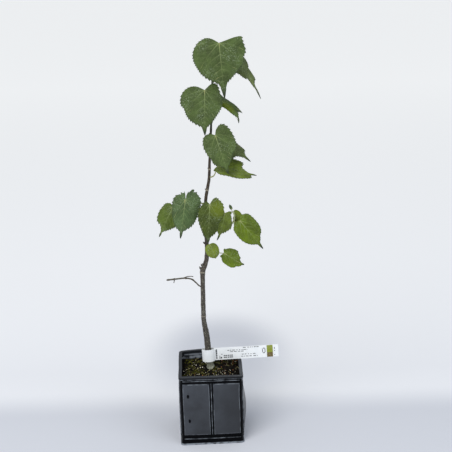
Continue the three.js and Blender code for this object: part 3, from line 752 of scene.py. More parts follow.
def shape_pot(bm):
    """The pot with straight walls: a box with its top open, raised panels and ribs, and a lip."""
    half, height = POT["straight_half"] - POT["sunk"], POT["height"]
    bmesh.ops.create_cube(bm, size=1.0)
    bmesh.ops.scale(bm, vec=(2 * half, 2 * half, height), verts=bm.verts)
    bmesh.ops.translate(bm, vec=(0, 0, height / 2), verts=bm.verts)
    bmesh.ops.delete(bm, geom=[f for f in bm.faces if f.normal.z > 0.9], context="FACES")
    upright = [e for e in bm.edges if abs(e.verts[0].co.z - e.verts[1].co.z) > height / 2]
    bmesh.ops.bevel(bm, geom=upright, offset=POT["corner"], offset_type="OFFSET",
                    segments=POT["corner_steps"], profile=0.5, affect="EDGES", material=-1)

    # Beside each edge that is to stand out, one more cut bounds the strip of painted highlight.
    bottom, top, lip = PANEL["bottom"], PANEL["top"], height - LIP["depth"]
    inner, outer, ridge = PANEL["inner"], PANEL["outer"], RIDGE["half"]
    strip, edge = PANEL["bevel"] + HIGHLIGHT_STRIP, LIP["edge"] + HIGHLIGHT_STRIP
    ribs = [(foot, foot + RIBS["height"]) for foot in RIBS["feet"]]
    cut(bm, 2, [
        FOOT["height"], bottom, top, lip, bottom + strip, top - strip, lip + edge, height - edge,
        *[(low + high) / 2 for low, high in INSIDE["lines"]],
        *[level for rib in ribs for level in rib],
    ])
    places = (ridge, inner, inner + strip, outer - strip, outer)
    for axis in (0, 1):
        cut(bm, axis, [sign * place for sign in (-1, 1) for place in places])
    bm.normal_update()

    for left, right in ((-outer, -inner), (inner, outer)):
        raise_region(bm, bottom, top, left, right, PANEL["proud"], PANEL["bevel"])
    raise_region(bm, bottom, top, -ridge, ridge, RIDGE["proud"], RIDGE["bevel"])
    for low, high in ribs:
        raise_region(bm, low, high, -outer, outer, RIBS["proud"], RIBS["bevel"])
    for low, high, band in ((lip, height, LIP), (0, FOOT["height"], FOOT)):
        faces = [f for f in bm.faces
                 if abs(f.normal.z) < 0.5 and low < f.calc_center_median().z < high]
        raise_faces(bm, faces, band["proud"], band["edge"], band["rub"])
    # Painted shade: sunk places get the deep colour, and the middle of the lip's face most of it.
    slope = 1.1 * LIP["edge"]
    for vert in bm.verts:
        stands_out = (max(abs(vert.co.x), abs(vert.co.y)) - half) / POT["sunk"]
        most = LIP["worn"] if lip + slope < vert.co.z < height - slope else 1.0
        vert[bm.verts.layers.float["worn"]] = min(most, max(0.0, stands_out))

    # Cuts close enough together to let the walls bend.
    cell = POT["cell"]
    cut(bm, 2, range(cell, height, cell))
    for axis in (0, 1):
        cut(bm, axis, range(-6 * cell, 6 * cell + 1, cell))
    bmesh.ops.remove_doubles(bm, verts=bm.verts, dist=0.01)
    bm.normal_update()
    made = bmesh.ops.solidify(bm, geom=bm.faces[:], thickness=POT["wall"])["geom"]
    widen_rim(bm, [part for part in made if isinstance(part, bmesh.types.BMVert)])
    bmesh.ops.recalc_face_normals(bm, faces=bm.faces)


def widen_rim(bm, inside):
    """Draws the top of the inner wall inwards, so that the rim is wide and its top slopes in."""
    worn, rubbed = (bm.verts.layers.float[name] for name in ("worn", "rubbed"))
    depth = LIP["depth"] + RIM["below"]
    for vert in inside:
        # The inside gets a little painted shade, and two bands on its back wall a painted
        # highlight.
        back = vert.co.y > INSIDE["from"]
        lit = back and any(low < vert.co.z < high for low, high in INSIDE["lines"])
        vert[worn], vert[rubbed] = INSIDE["worn"], INSIDE["rub"] if lit else 0.0
        part = (vert.co.z - POT["height"] + depth) / depth
        if part > 0:
            limit = POT["straight_half"] - POT["sunk"] - POT["wall"] - RIM["width"] * part
            share = min(1, limit / max(abs(vert.co.x), abs(vert.co.y)))
            vert.co.x, vert.co.y = vert.co.x * share, vert.co.y * share


def turned_about(x, y, z):
    """A place in the pot after the pot is turned about its middle, twisted and pushed aside."""
    down = 1 - z / POT["height"]
    turn = math.radians(POT["turn"] + POT["twist"] * down)
    c, s = math.cos(turn), math.sin(turn)
    return x * c - y * s + POT["shift"] + POT["foot_shift"] * down, x * s + y * c


def swollen_out(along, across, half, swell):
    """A place along an axis after its wall swells out, most at its middle and not at its ends."""
    middle = max(0, 1 - (across / PANEL["outer"]) ** 2)
    return along + math.copysign(swell * middle * min(1, abs(along) / half) ** 4, along)


def warp_pot(bm, warp):
    """Tapers, leans, swells and slightly crumples the straight pot."""
    for vert in bm.verts:
        x, y, z = vert.co
        up = z / POT["height"]
        half = POT["foot_half"] + (POT["top_half"] - POT["foot_half"]) * up
        deep = POT["foot_deep"] + (POT["top_half"] - POT["foot_deep"]) * up
        x, y = x * half / POT["straight_half"], y * deep / POT["straight_half"]
        swell = POT["bulge"]
        if abs(x) > 0.95 * half:
            swell = POT["bulge_right"] if x > 0 else POT["bulge_left"]
        swell *= math.exp(-((z - POT["bulge_height"]) / POT["bulge_reach"]) ** 2)
        if z > SOIL["floor"]:
            x = swollen_out(x, y, half, swell)
            y = swollen_out(y, x, half, swell)
        x, y = turned_about(x, y, z)
        stray = Vector((0, 0, 0))
        if z > FOOT["height"]:
            stray = noise.noise_vector(Vector((x, y, z)) / POT["warp_wave"]) * warp
        # The rim stands a little higher at the back, most in its middle.
        high = up ** 6
        back = high * max(0.0, min(1.0, 0.5 + y / (2 * half)))
        rise = RIM["back_rise"] + RIM["back_arch"] * max(0, 1 - (x / half) ** 2)
        vert.co = Vector((x + POT["lean"] * up + stray.x, y + stray.y + RIM["back_reach"] * back,
                          z + 0.4 * stray.z * high + rise * back))


def pot_plastic(settings):
    """Black recycled polypropylene, vacuum formed. Dust and painted sheen, shade and highlights."""
    stuff = Stuff("recycled_polypropylene")
    height = stuff.axis("Z")
    # Dust and a painted sheen lie on what stands out, in patches a few centimetres wide. More sheen
    # is painted towards the top, and painted shade takes most of it off the lip and the right.
    patches = stuff.cloud(34, 5, 0.6)
    strewn = stuff.ramp(patches, 0.4, 0.75, 0.1, 0.65)
    dust_and_top_sheen = stuff.maths("ADD", strewn, stuff.ramp(height, 0.055, 0.09, high=0.45), use_clamp=True)
    below_lip = stuff.ramp(height, 0.093, 0.09, 0.1)
    lit_share = stuff.maths("MULTIPLY", below_lip, stuff.ramp(stuff.axis("X"), 0, 0.042, 1, 0.1))
    outside = stuff.mix(settings.body, settings.dust, stuff.maths("MULTIPLY", dust_and_top_sheen, lit_share))
    # Painted highlights lie along the edges that stand out, broken into patches.
    highlight_patches = stuff.ramp(stuff.cloud(130, 3), 0.36, 0.62, high=0.8)
    rubbed = stuff.maths("MULTIPLY", highlight_patches, stuff.layer("rubbed"))
    # Painted shade: grooves, pits, the lip's face and the inside get some of the deep colour.
    worn = stuff.layer("worn")
    mixed = stuff.mix(settings.deep, stuff.mix(outside, settings.edge_highlight, rubbed), worn)
    # The sheet's grain is about 0.6 mm across, and shows as a slight unevenness of the sheen.
    # Little light gets into the grooves to be thrown back.
    return stuff.finish(mixed, stuff.ramp(patches, 0, 1, 0.26, 0.44),
                        stuff.ramp(worn, 0, 1, 0.06, 0.5), (stuff.cloud(1600, 2), 0.1, 0.0002),
                        IOR=1.49)


# ---------------------------------------------------------------- soil


# The soil's crumbs: the length of their waves and their share of the height, coarse and fine, and
# how the coarse ones' finer waves follow. Then how much lower they are beside the wall.
CRUMBS = {
    "coarse": 7, "coarse_share": 0.8, "fine": 1.6, "fine_share": 0.35, "falling": 0.9, "finer": 2.1,
    "octaves": 4, "less_at_wall": 0.6,
}
ROUND_OFF = 0.035
# How many small things are joined at a time, how moss and pine splinters keep to their sides, and
# the room that everything leaves round the stem.
LITTER = {"few": 5, "moss": (1.1, 0.1), "pine": 1.5, "from_stem": 1.2}
LEAN_AT_TOP = POT["lean"] * SOIL["wall_height"] / POT["height"]


def mound_height(x, y):
    """The smooth height of the soil's top."""
    away = (Vector((x, y)) - Vector(STEM[0][:2])).length - SOIL["flat_radius"]
    share = max(0.0, min(1.0, 1 - away / (SOIL["half"] - SOIL["flat_radius"])))
    back = y / SOIL["half"]
    wall = SOIL["wall_height"] + SOIL["slope"] * back + SOIL["dip"] * back * back
    return wall + (SOIL["mound_height"] - wall) * math.sin(share * math.pi / 2)


class LINDEN_OT_soil(Operator):
    """Makes the crumbly potting mix, with bark chips, grit, moss and straws on it"""

    bl_idname = "linden.soil"
    bl_label = "Soil"

    def execute(self, context):
        settings = context.scene.linden_soil
        crumble = settings.crumble / MM
        bm = bmesh.new()
        shape_soil(bm, crumble)
        piece = finish_mesh("soil_body", bm, [peat(settings)], crease=60)
        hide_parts("soil")
        dice = random.Random(11)
        # Each litter's piece, number, maker, stuff, colour and roughness, and the reach of its
        # clumps, or 0 where it lies singly.
        litter = (
            ("soil_chips", settings.chips, chip, "bark_chips", settings.bark, 0.8, 0),
            ("soil_splinters", settings.chips // 3, chip, "pine_splinters", settings.splinter,
             0.75, 0),
            ("soil_grit", settings.grit, grain, "volcanic_grit", settings.grain, 0.6, 0),
            ("soil_moss", settings.moss, tuft, "moss", settings.green, 0.75, 3.2),
            ("soil_straw", settings.straw, straw, "straw", settings.stalk, 0.7, 0),
        )
        for name, number, make, stuff, base, roughness, clump in litter:
            scatter(dice, name, number, make, plain(stuff, base, roughness), crumble, clump)
        return {"FINISHED"}


def crumbs(x, y, crumble):
    """How far the soil's crumbs stand up or lie down at a place."""
    coarse = noise.fractal(Vector((x, y, 0)) / CRUMBS["coarse"], CRUMBS["falling"], CRUMBS["finer"],
                           CRUMBS["octaves"])
    fine = abs(noise.noise(Vector((x, y, 7)) / CRUMBS["fine"]))
    return crumble * (CRUMBS["coarse_share"] * coarse + CRUMBS["fine_share"] * fine)


def shape_soil(bm, crumble):
    """A block that fills the pot, with a crumbly mound on top."""
    cells = SOIL["cells"]
    bmesh.ops.create_grid(bm, x_segments=cells, y_segments=cells, size=1.0)
    for vert in bm.verts:
        u, v = vert.co.x, vert.co.y
        # A square with rounded corners.
        half = SOIL["half"] * (1 - ROUND_OFF * (abs(u) * abs(v)) ** 8)
        x, y = turned_about(u * half, v * half, SOIL["wall_height"])
        x += LEAN_AT_TOP
        less = 1 - CRUMBS["less_at_wall"] * max(abs(u), abs(v)) ** 12
        vert.co = Vector((x, y, mound_height(x, y) + crumbs(x, y, crumble) * less))
    bmesh.ops.recalc_face_normals(bm, faces=bm.faces)
    rim = [e for e in bm.edges if e.is_boundary]
    for level in (*SOIL["levels"], SOIL["floor"]):
        verts, rim = extrude(bm, rim)
        for vert in verts:
            vert.co.x += (POT["foot_shift"] - POT["lean"]) * (vert.co.z - level) / POT["height"]
            vert.co.z = level
    bmesh.ops.contextual_create(bm, geom=rim)
    bmesh.ops.recalc_face_normals(bm, faces=bm.faces)


def scatter(dice, name, number, make, material, crumble, clump):
    """Joins many small things of one kind, laid singly or in clumps on the soil, into one piece."""
    bm, few = bmesh.new(), bmesh.new()
    reach = SOIL["half"] - SOIL["margin"]

    def anywhere():
        return dice.uniform(-reach, reach), dice.uniform(-reach, reach)

    middles = [anywhere() for _ in range(SOIL["clumps"])]
    slope, start = LITTER["moss"]
    for i in range(number):
        # A small mesh takes the next things faster than a large one, so a few are joined first.
        if (i + 1) % LITTER["few"] == 0:
            add_to(bm, few)
            few = bmesh.new()
        x, y = anywhere()
        if clump:
            x, y = dice.choice(middles)
            x, y = dice.gauss(x, clump), dice.gauss(y, clump)
        # Moss keeps to the left, and pine splinters to the right.
        across = (x + reach) / (2 * reach)
        if name == "soil_moss" and dice.random() < slope * across - start:
            continue
        if name == "soil_splinters" and dice.random() > across ** LITTER["pine"]:
            continue
        from_stem = (Vector((x, y)) - Vector(STEM[0][:2])).length
        if max(abs(x), abs(y)) > reach or from_stem < STEM[0][3] + LITTER["from_stem"]:
            continue
        x += LEAN_AT_TOP + POT["shift"]
        make(few, dice, Vector((x, y, mound_height(x, y) + crumbs(x, y, crumble))))
    add_to(bm, few)
    piece = finish_mesh(name, bm, [material], crease=35)


def tumbled(dice, spot, size, flatness):
    """A matrix that puts a thing down at a spot, turned any way, at a size."""
    turn = Matrix.Rotation(dice.uniform(0, math.tau), 4, "Z")
    tip = Matrix.Rotation(dice.gauss(0, 0.35), 4, "X")
    tip = tip @ Matrix.Rotation(dice.gauss(0, 0.35), 4, "Y")
    return Matrix.Translation(spot) @ turn @ tip @ Matrix.Diagonal((size[0], size[1], flatness, 1))


def lump(bm, dice, uneven):
    """A small rough ball whose corners stray between two shares of its size."""
    verts = bmesh.ops.create_icosphere(bm, subdivisions=1, radius=0.5)["verts"]
    for vert in verts:
        vert.co *= dice.uniform(*uneven)
    return verts


def chip(bm, dice, spot):
    """A splinter of bark or pine."""
    size = dice.uniform(1.6, 4.6), dice.uniform(0.8, 2.0)
    verts = lump(bm, dice, (0.8, 1.25))
    place = tumbled(dice, spot, size, dice.uniform(0.5, 1.1))
    bmesh.ops.transform(bm, matrix=place, verts=verts)


def grain(bm, dice, spot):
    """A white grain of grit."""
    size = dice.uniform(0.6, 1.5)
    verts = lump(bm, dice, (0.85, 1.2))
    place = tumbled(dice, spot + Vector((0, 0, 0.3)), (size, size), size)
    bmesh.ops.transform(bm, matrix=place, verts=verts)


def tuft(bm, dice, spot):
    """A tuft of moss: short pointed blades that lean apart."""
    for _ in range(7):
        lean = Vector((dice.gauss(0, 0.7), dice.gauss(0, 0.7), dice.uniform(0.7, 1.4)))
        foot = spot + Vector((dice.gauss(0, 0.7), dice.gauss(0, 0.7), -0.3))
        line = [foot, foot + lean * 0.8, foot + lean * 1.5 + Vector((0, 0, 0.1))]
        tube(bm, line, (0.22, 0.2, 0.03), 3)


def straw(bm, dice, spot):
    """A thin dry straw that lies in a curve on the soil."""
    heading, turn = dice.uniform(0, math.tau), dice.uniform(-0.5, 0.5)
    line, at = [], spot.copy()
    for _ in range(6):
        x, y = at.x, at.y
        line.append(Vector((x, y, mound_height(x, y) + 0.9 + dice.uniform(0, 0.5))))
        heading += turn
        at += Vector((math.cos(heading), math.sin(heading), 0)) * dice.uniform(0.9, 1.6)
    tube(bm, line, (0.2, 0.22, 0.2, 0.18, 0.16, 0.12), 5)


def plain(name, base, roughness):
    """A dull natural stuff whose colour strays from light to dark over a few millimetres."""
    stuff = Stuff(name)
    light = stuff.ramp(stuff.cloud(210, 3), 0.3, 0.7, 0.3, 1.8)
    return stuff.finish(stuff.vectors("MULTIPLY", base[:3], light), roughness, 0.2)


def peat(settings):
    """Moist peat: nearly black crumbs of about 1.5 mm with browner ones between them."""
    stuff = Stuff("moist_peat")
    crumb = stuff.add("TexVoronoi", "Distance", Scale=650, Vector=stuff.place)
    mixed = stuff.mix(settings.peat, linear("#15100a"), crumb)
    return stuff.finish(mixed, 0.92, 0.15, (crumb, 0.7, 0.0008))


# ---------------------------------------------------------------- tag


class LINDEN_OT_tag(Operator):
    """Makes the film tag that loops round the stem, with plain marks on its tail"""

    bl_idname = "linden.tag"
    bl_label = "Tag"

    def execute(self, context):
        settings = context.scene.linden_tag
        thickness = settings.thickness / MM
        bm = bmesh.new()
        shape_tag(bm, thickness)
        piece = finish_mesh("tag_film", bm, [film(settings)], crease=50)
        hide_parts("tag")
        mark_tag(settings, thickness)
        return {"FINISHED"}


def stem_middle(height):
    """The stem's centre at a height, and its direction there."""
    return line_at(smooth_line(STEM), height)


def line_at(line, height):
    """Where a rising line first reaches a height, its direction and its share of the length."""
    shares, _ = shares_of(line)
    for i, (low, high) in enumerate(zip(line, line[1:])):
        if high.z >= height:
            part = max(0, (height - low.z) / (high.z - low.z))
            share = shares[i] + (shares[i + 1] - shares[i]) * part
            return low.lerp(high, part), (high - low).normalized(), share
    return line[-1], (line[-1] - line[-2]).normalized(), 1.0


def tag_course():
    """Where the stem stands in the loop, where the loop bends off, and each part's length."""
    middle = stem_middle(TAG["bottom"] + TAG["height"] / 2)[0]
    leave = math.asin(TAG["parting"] / TAG["loop_deep"])
    straight = TAG["tail_end"] - middle.x - TAG["loop_across"] * math.cos(leave)
    return middle, leave, straight, (math.tau - 2 * leave) * TAG["loop_across"]


def tag_place(course, run, rise):
    """A place on the tag: run along the strap, from its front end round the stem to its back."""
    middle, leave, straight, bend = course
    radius, parting = TAG["loop_across"], TAG["parting"]
    if run < straight:
        x, y = TAG["tail_end"] - middle.x - run, -parting
    elif run > straight + bend:
        x, y = radius * math.cos(leave) + run - straight - bend, parting
    else:
        angle = -leave - (run - straight) / radius
        x, y = radius * math.cos(angle), TAG["loop_deep"] * math.sin(angle)
        rise -= TAG["back_drop"] * max(0.0, math.sin(angle)) ** 2
    # Film is never quite flat: the tail waves a little.
    beyond = min(1, max(0, x - radius) / 20)
    y += TAG["wave"] * math.sin(max(0, x) / TAG["wave_length"]) * beyond
    tilt = math.radians(TAG["tilt"])
    c, s = math.cos(tilt), math.sin(tilt)
    return Vector((middle.x + x * c - rise * s, middle.y + y, TAG["bottom"] + x * s + rise * c))


def shape_tag(bm, thickness):
    """One strap, bent round the stem, given the film's thickness."""
    course = tag_course()
    whole = 2 * course[2] + course[3]
    bmesh.ops.create_grid(bm, x_segments=TAG["cells"], y_segments=4, size=1.0)
    for vert in bm.verts:
        along, up = (vert.co.x + 1) / 2, (vert.co.y + 1) / 2
        vert.co = tag_place(course, along * whole, up * TAG["height"])
    bmesh.ops.recalc_face_normals(bm, faces=bm.faces)
    bmesh.ops.solidify(bm, geom=bm.faces[:], thickness=thickness)
    bmesh.ops.recalc_face_normals(bm, faces=bm.faces)


# Marks on the tail's front. Places run outwards from the loop, and heights up from the lower edge.
DASH = {"cell": 4, "proud": 0.03, "thin": 0.8}
BAR = {"from": 1.6, "to": 3.6, "feet": (2.2, 5.4, 8.4, 11.2, 13.8), "heights": (1.6, 2.4)}
# Two single marks, the upright ones, and the frame of the small outline: start, end, low, high.
LONE_MARKS = ((6.6, 7.4, 1.6, 6.2), (8.2, 10.0, 2.0, 4.4))
THICK_ROWS = {
    "feet": (2.6, 5.3), "starts": (12.6, 15.3, 18.0, 20.7, 23.2), "height": 1.5,
    "lengths": (1.7, 2.2),
}
# The lengths of thin dashes and of the gaps between them. Each row's height, start and end.
THIN_DASHES = {"lengths": (1.2, 4.0), "gaps": (0.9, 2.4)}
THIN_ROWS = (
    (13.2, 18, 46), (11.0, 22, 42), (16.4, 40, 62), (8.0, 9, 13), (6.4, 38, 58), (3.2, 37, 60),
)
OUTLINE = (
    (66.8, 67.6, 7.6, 13.0), (70.2, 71.0, 7.6, 13.0), (67.8, 70.2, 13.2, 14.2),
    (67.8, 70.2, 6.4, 7.4),
)
DOTS = {"from": 83.4, "to": 84.4, "feet": (2.6, 8.4, 11.6, 13.2), "height": 1.1}
PATCH = {"from": 73.2, "to": 81.4, "foot": 0.3, "change": 7.2, "inner": (75.4, 79.2, 10.2, 15.2)}


def dash(bm, course, thickness, start, end, low, high):
    """A flat mark between two places along the tail and two heights, just proud of the film."""
    steps = max(1, round((end - start) / DASH["cell"]))
    made = bmesh.ops.create_grid(bm, x_segments=steps, y_segments=1, size=1.0)["verts"]
    for vert in made:
        run = course[2] - start - (end - start) * (vert.co.x + 1) / 2
        spot = tag_place(course, run, low + (high - low) * (vert.co.y + 1) / 2)
        vert.co = spot - Vector((0, thickness + DASH["proud"], 0))
    return made


def mark_tag(settings, thickness):
    """Rows of plain dashes, a few blocks and a two-coloured patch on the tail's front."""
    dice = random.Random(5)
    course, bm = tag_course(), bmesh.new()
    for low in BAR["feet"]:
        high = low + dice.uniform(*BAR["heights"])
        dash(bm, course, thickness, BAR["from"], BAR["to"], low, high)
    for mark in LONE_MARKS:
        dash(bm, course, thickness, *mark)
    for low in THICK_ROWS["feet"]:
        for start in THICK_ROWS["starts"]:
            end = start + dice.uniform(*THICK_ROWS["lengths"])
            dash(bm, course, thickness, start, end, low, low + THICK_ROWS["height"])
    for low, start, last in THIN_ROWS:
        while start < last:
            end = start + dice.uniform(*THIN_DASHES["lengths"])
            dash(bm, course, thickness, start, min(end, last), low, low + DASH["thin"])
            start = end + dice.uniform(*THIN_DASHES["gaps"])
    for mark in OUTLINE:
        dash(bm, course, thickness, *mark)
    for low in DOTS["feet"]:
        dash(bm, course, thickness, DOTS["from"], DOTS["to"], low, low + DOTS["height"])
    marks = finish_mesh("tag_marks", bm, [printed("grey_ink", settings.ink)])

    patch, sides, change = bmesh.new(), (PATCH["from"], PATCH["to"]), PATCH["change"]
    dash(patch, course, thickness, *sides, change, TAG["height"] - 0.2)
    foot = dash(patch, course, thickness, *sides, PATCH["foot"], change)
    for face in {f for v in foot for f in v.link_faces}:
        face.material_index = 1
    dash(patch, course, thickness, *PATCH["inner"])
    block = finish_mesh("tag_block", patch, [printed("green_ink", settings.block),
                                             printed("brown_ink", settings.block_foot)])


def film(settings):
    """Polypropylene film: white, smooth, slightly glossy and faintly scuffed, lit from behind."""
    stuff = Stuff("white_film")
    mixed = stuff.mix(settings.film, linear("#dfe5e8"), stuff.cloud(160, 4))
    # The faint emission is painted light, as if the film were lit from behind.
    return stuff.finish(mixed, 0.42, Emission_Color=settings.film, Emission_Strength=0.09)


def printed(name, base):
    """Ink on film: thin, matt and a little uneven."""
    stuff = Stuff(name)
    lightness = stuff.ramp(stuff.cloud(900, 2), 0.5, 0.8, high=0.35)
    return stuff.finish(stuff.mix(base, linear("#d8dcda"), lightness), 0.6)


# ---------------------------------------------------------------- stem, twig and shoot


# How far scars stand out and reach, and the bark's furrows and its wider waves.
BARK = {
    "scar_height": 0.32, "scar_reach": 0.6, "stretch": 4, "furrow": 1.3, "swell": 4.5,
    "swell_share": 0.7, "sunk": 0.6,
}
# How deep the stem's buds sit, how far they lean along it and away from it, and their form.
BUD = {"seat": 0.85, "along": 0.75, "away": 0.65}
BUD_FORM = {"width": 0.5, "sides": 12, "pinch": 0.55, "lift": 0.35}


def stem_radius(height):
    """The stem's radius at a height."""
    return float(np.interp(height, [p[2] for p in STEM], [p[3] for p in STEM]))


class LINDEN_OT_stem(Operator):
    """Makes the stem with its bark, scars and buds, the bare twig and the green shoot"""

    bl_idname = "linden.stem"
    bl_label = "Stem and twigs"

    def execute(self, context):
        settings = context.scene.linden_bark
        bark = bark_material(settings)
        bm = bmesh.new()
        shape_stem(bm, settings)
        piece = finish_mesh("stem_bark", bm, [bark], crease=70)
        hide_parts("stem")

        bm = bmesh.new()
        shape_twig(bm)
        piece = finish_mesh("twig_bare", bm, [twig_bark(settings)], crease=60)
        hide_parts("twig_left")

        bm = bmesh.new()
        shape_shoot(bm)
        piece = finish_mesh("shoot_green", bm, [green_bark(settings)], crease=60)
        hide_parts("shoot_right")
        return {"FINISHED"}


def swollen(height):
    """How far the scars round the stem stand out, from 0 to 1."""
    return max(plainly * math.exp(-((height - ring) / BARK["scar_reach"]) ** 2)
               for ring, plainly in SCARS)


def shape_stem(bm, settings):
    """The stem from its cut to its tip, with furrows, scars and buds."""
    line = resample(smooth_line(STEM), settings.step / MM)
    foot = STEM[0][2]
    line[0].z = foot
    radii = [stem_radius(p.z) + BARK["scar_height"] * swollen(p.z) for p in line]
    scar = bm.verts.layers.float.new("scar")
    relief = settings.relief / MM
    for ring, centre in tube(bm, line, radii, settings.sides):
        depth = relief * min(1.0, stem_radius(centre.z) / 3)
        for vert in ring:
            away = vert.co - centre
            # Furrows run along the stem, so the pattern is stretched that way.
            spot = Vector((vert.co.x, vert.co.y, vert.co.z / BARK["stretch"]))
            ridge = noise.fractal(spot / BARK["furrow"], 0.8, 2.0, 3)
            ridge += BARK["swell_share"] * noise.noise(vert.co / BARK["swell"])
            vert.co += away.normalized() * depth * ridge
            vert[scar] = swollen(centre.z)
    for vert in bm.verts:
        if vert.co.z < foot + 0.01:
            vert.co.z = foot - BARK["sunk"]
    for height, compass, size in BUDS:
        centre, along, _ = stem_middle(height)
        angle = math.radians(compass)
        away = Vector((math.cos(angle), math.sin(angle), 0))
        spot = centre + away * (stem_radius(height) * BUD["seat"])
        lean = (along * BUD["along"] + away * BUD["away"]).normalized()
        add_bud(bm, spot, lean, size, **BUD_FORM)
    bmesh.ops.recalc_face_normals(bm, faces=bm.faces)


def add_bud(bm, spot, lean, size, width, sides, pinch=0.0, lift=0.0):
    """An egg that leans a way, as wide as a share of its length, which may be pointed above."""
    made = bmesh.ops.create_uvsphere(bm, u_segments=sides, v_segments=sides - 2, radius=0.5)
    verts = made["verts"]
    for vert in verts:
        thin = 1 - pinch * max(0.0, vert.co.z * 2) ** 1.4
        vert.co = Vector((vert.co.x * thin, vert.co.y * thin, vert.co.z + lift))
    shape = Matrix.Diagonal((size * width, size * width, size, 1))
    bmesh.ops.transform(bm, matrix=Matrix.Translation(spot) @ facing(lean) @ shape, verts=verts)


def shape_twig(bm):
    """The bare twig, with its stub, its spur and the small swellings where buds sat."""
    line = resample(smooth_line(TWIG["main"]), TWIG["step"])
    radii = [
        radius + sum(lift * math.exp(-((share - at) / TWIG["knot_reach"]) ** 2)
                     for at, lift in TWIG_KNOTS)
        for radius, share in zip(tapered(TWIG["main_radii"], line), shares_of(line)[0])
    ]
    rough_tube(bm, line, radii, sides=12, height=0.09, grain=1.1)
    for part in ("stub", "spur"):
        side = resample(smooth_line(TWIG[part]), TWIG["step"])
        tube(bm, side, tapered(TWIG["side_radii"], side), 10)
    for spot, lean, size in TWIG_BUDS:
        add_bud(bm, Vector(spot), lean, size, width=0.55, sides=10)
    bmesh.ops.recalc_face_normals(bm, faces=bm.faces)


def shape_shoot(bm):
    """The green shoot, a little swollen where each stalk leaves it."""
    line = resample(smooth_line(SHOOT["main"]), SHOOT["step"])
    swellings = [leaf["carrier"][1] for leaf in LEAVES if leaf["carrier"][0] == "shoot"]
    radii = [
        radius + SHOOT["swell"] * max(math.exp(-((p.z - z) / SHOOT["swell_reach"]) ** 2)
                                      for z in swellings)
        for radius, p in zip(tapered(SHOOT["radii"], line), line)
    ]
    rough_tube(bm, line, radii, sides=14, height=0.06, grain=1.4)
    bmesh.ops.recalc_face_normals(bm, faces=bm.faces)


def bark_material(settings):
    """Linden bark of the first years: grey-brown below, then brown, and green at the top."""
    stuff = Stuff("linden_bark")
    height = stuff.axis("Z")
    # The bark turns from the old colour to the young one around the kink.
    body = stuff.mix(settings.low, settings.high, stuff.ramp(height, 0.20, 0.33))
    green = stuff.mix(body, settings.tip, stuff.ramp(height, 0.42, 0.445))
    footed = stuff.mix(green, settings.foot, stuff.ramp(height, 0.118, 0.096))
    # Furrows about 0.8 mm apart, four times as long, with painted shade in their floors, lighter on
    # the ridges.
    stretched = stuff.add("Mapping", "Vector", Scale=(1.0, 1.0, 0.25), Vector=stuff.place)
    furrow = stuff.cloud(900, 6, 0.65, stretched)
    furrow_shaded = stuff.vectors("MULTIPLY", footed, stuff.ramp(furrow, 0.32, 0.68, 0.3, 1.7))
    # Specks of lichen and cork, 1 to 2 mm across, thicker on the older bark.
    specks = stuff.ramp(stuff.cloud(620, 2, 0.7), 0.57, 0.68, high=0.7)
    rarer = stuff.ramp(height, 0.22, 0.32, 1, 0.35)
    specked = stuff.mix(furrow_shaded, settings.lichen, stuff.maths("MULTIPLY", specks, rarer))
    ringed = stuff.mix(specked, settings.ring, stuff.layer("scar"))
    return stuff.finish(ringed, 0.72, bump=(furrow, 0.5, 0.0002))


def twig_bark(settings):
    """Bark of a dry twig: smooth, red-brown and slightly powdery."""
    return stippled("twig_bark", settings.twig, linear("#8d8266"), 0.7)


def green_bark(settings):
    """Skin of a shoot of the same year: soft green with pale specks."""
    return stippled("green_bark", settings.shoot, linear("#b5bd8e"), 0.55)


def stippled(name, base, speck, roughness):
    """A smooth skin with specks of about half a millimetre."""
    stuff = Stuff(name)
    specks = stuff.cloud(1300, 3)
    mixed = stuff.mix(base, speck, stuff.ramp(specks, 0.45, 0.8))
    return stuff.finish(mixed, roughness, bump=(specks, 0.3, 0.0001))


# ---------------------------------------------------------------- leaves


# How the blade's fan of cells, its teeth and its swells are laid out, in millimetres or as shares.
FAN = {
    "length": 0.8, "fine": 900, "least": 8, "small_share": 0.45, "toothed_from": 0.86,
    "smooth_tip": 0.14, "tip_fade": 6, "notch_fade": 5, "tooth_lean": 1.3, "tooth_low": 0.4,
    "tooth_stray": 0.6, "stray_length": 9, "swell_reach": 2.6, "wave": 0.9, "wave_length": 5.2,
    "margin": 0.045, "margin_share": 0.8,
}
# How far out the veins run, how strong they are at their ends, the shares of a lobe that they keep
# within, how basal veins bend and their branches lean, and the ribs that stand out below.
VEIN = {
    "midrib_to": 0.985, "basal_to": 0.9, "branch_to": 0.93, "side_to": 0.92,
    "midrib_end": 0.14, "basal_end": 0.08, "branch": (0.22, 0.05), "side": (0.5, 0.05),
    "starts_within": 0.88, "ends_within": 0.97, "bend": 0.16, "lean": 40, "lean_until": 0.95,
    "fade": 2.1, "least_rib": 0.3, "rib": (0.42, 0.16), "rib_step": 2.4, "rib_sides": 6,
}


def size_share(blade):
    """How near a blade is to full size, from 0 to 1."""
    return min(1.0, blade.length / LEAF["full_size"])


def reach_at(turn, half, tail):
    """From the stalk to the outline, as a share of the length, at degrees off the midrib."""
    _, lobe, roundness, shoulder = half
    body = (1 - tail - shoulder) * np.cos(np.pi / 2 * np.minimum(turn / lobe, 1)) ** roundness
    point = shoulder * np.exp(-turn / LEAF["shoulder_spread"])
    point += tail * np.exp(-turn / LEAF["tail_spread"])
    return body + point * np.clip((lobe - turn) / LEAF["notch_fade"], 0, 1)


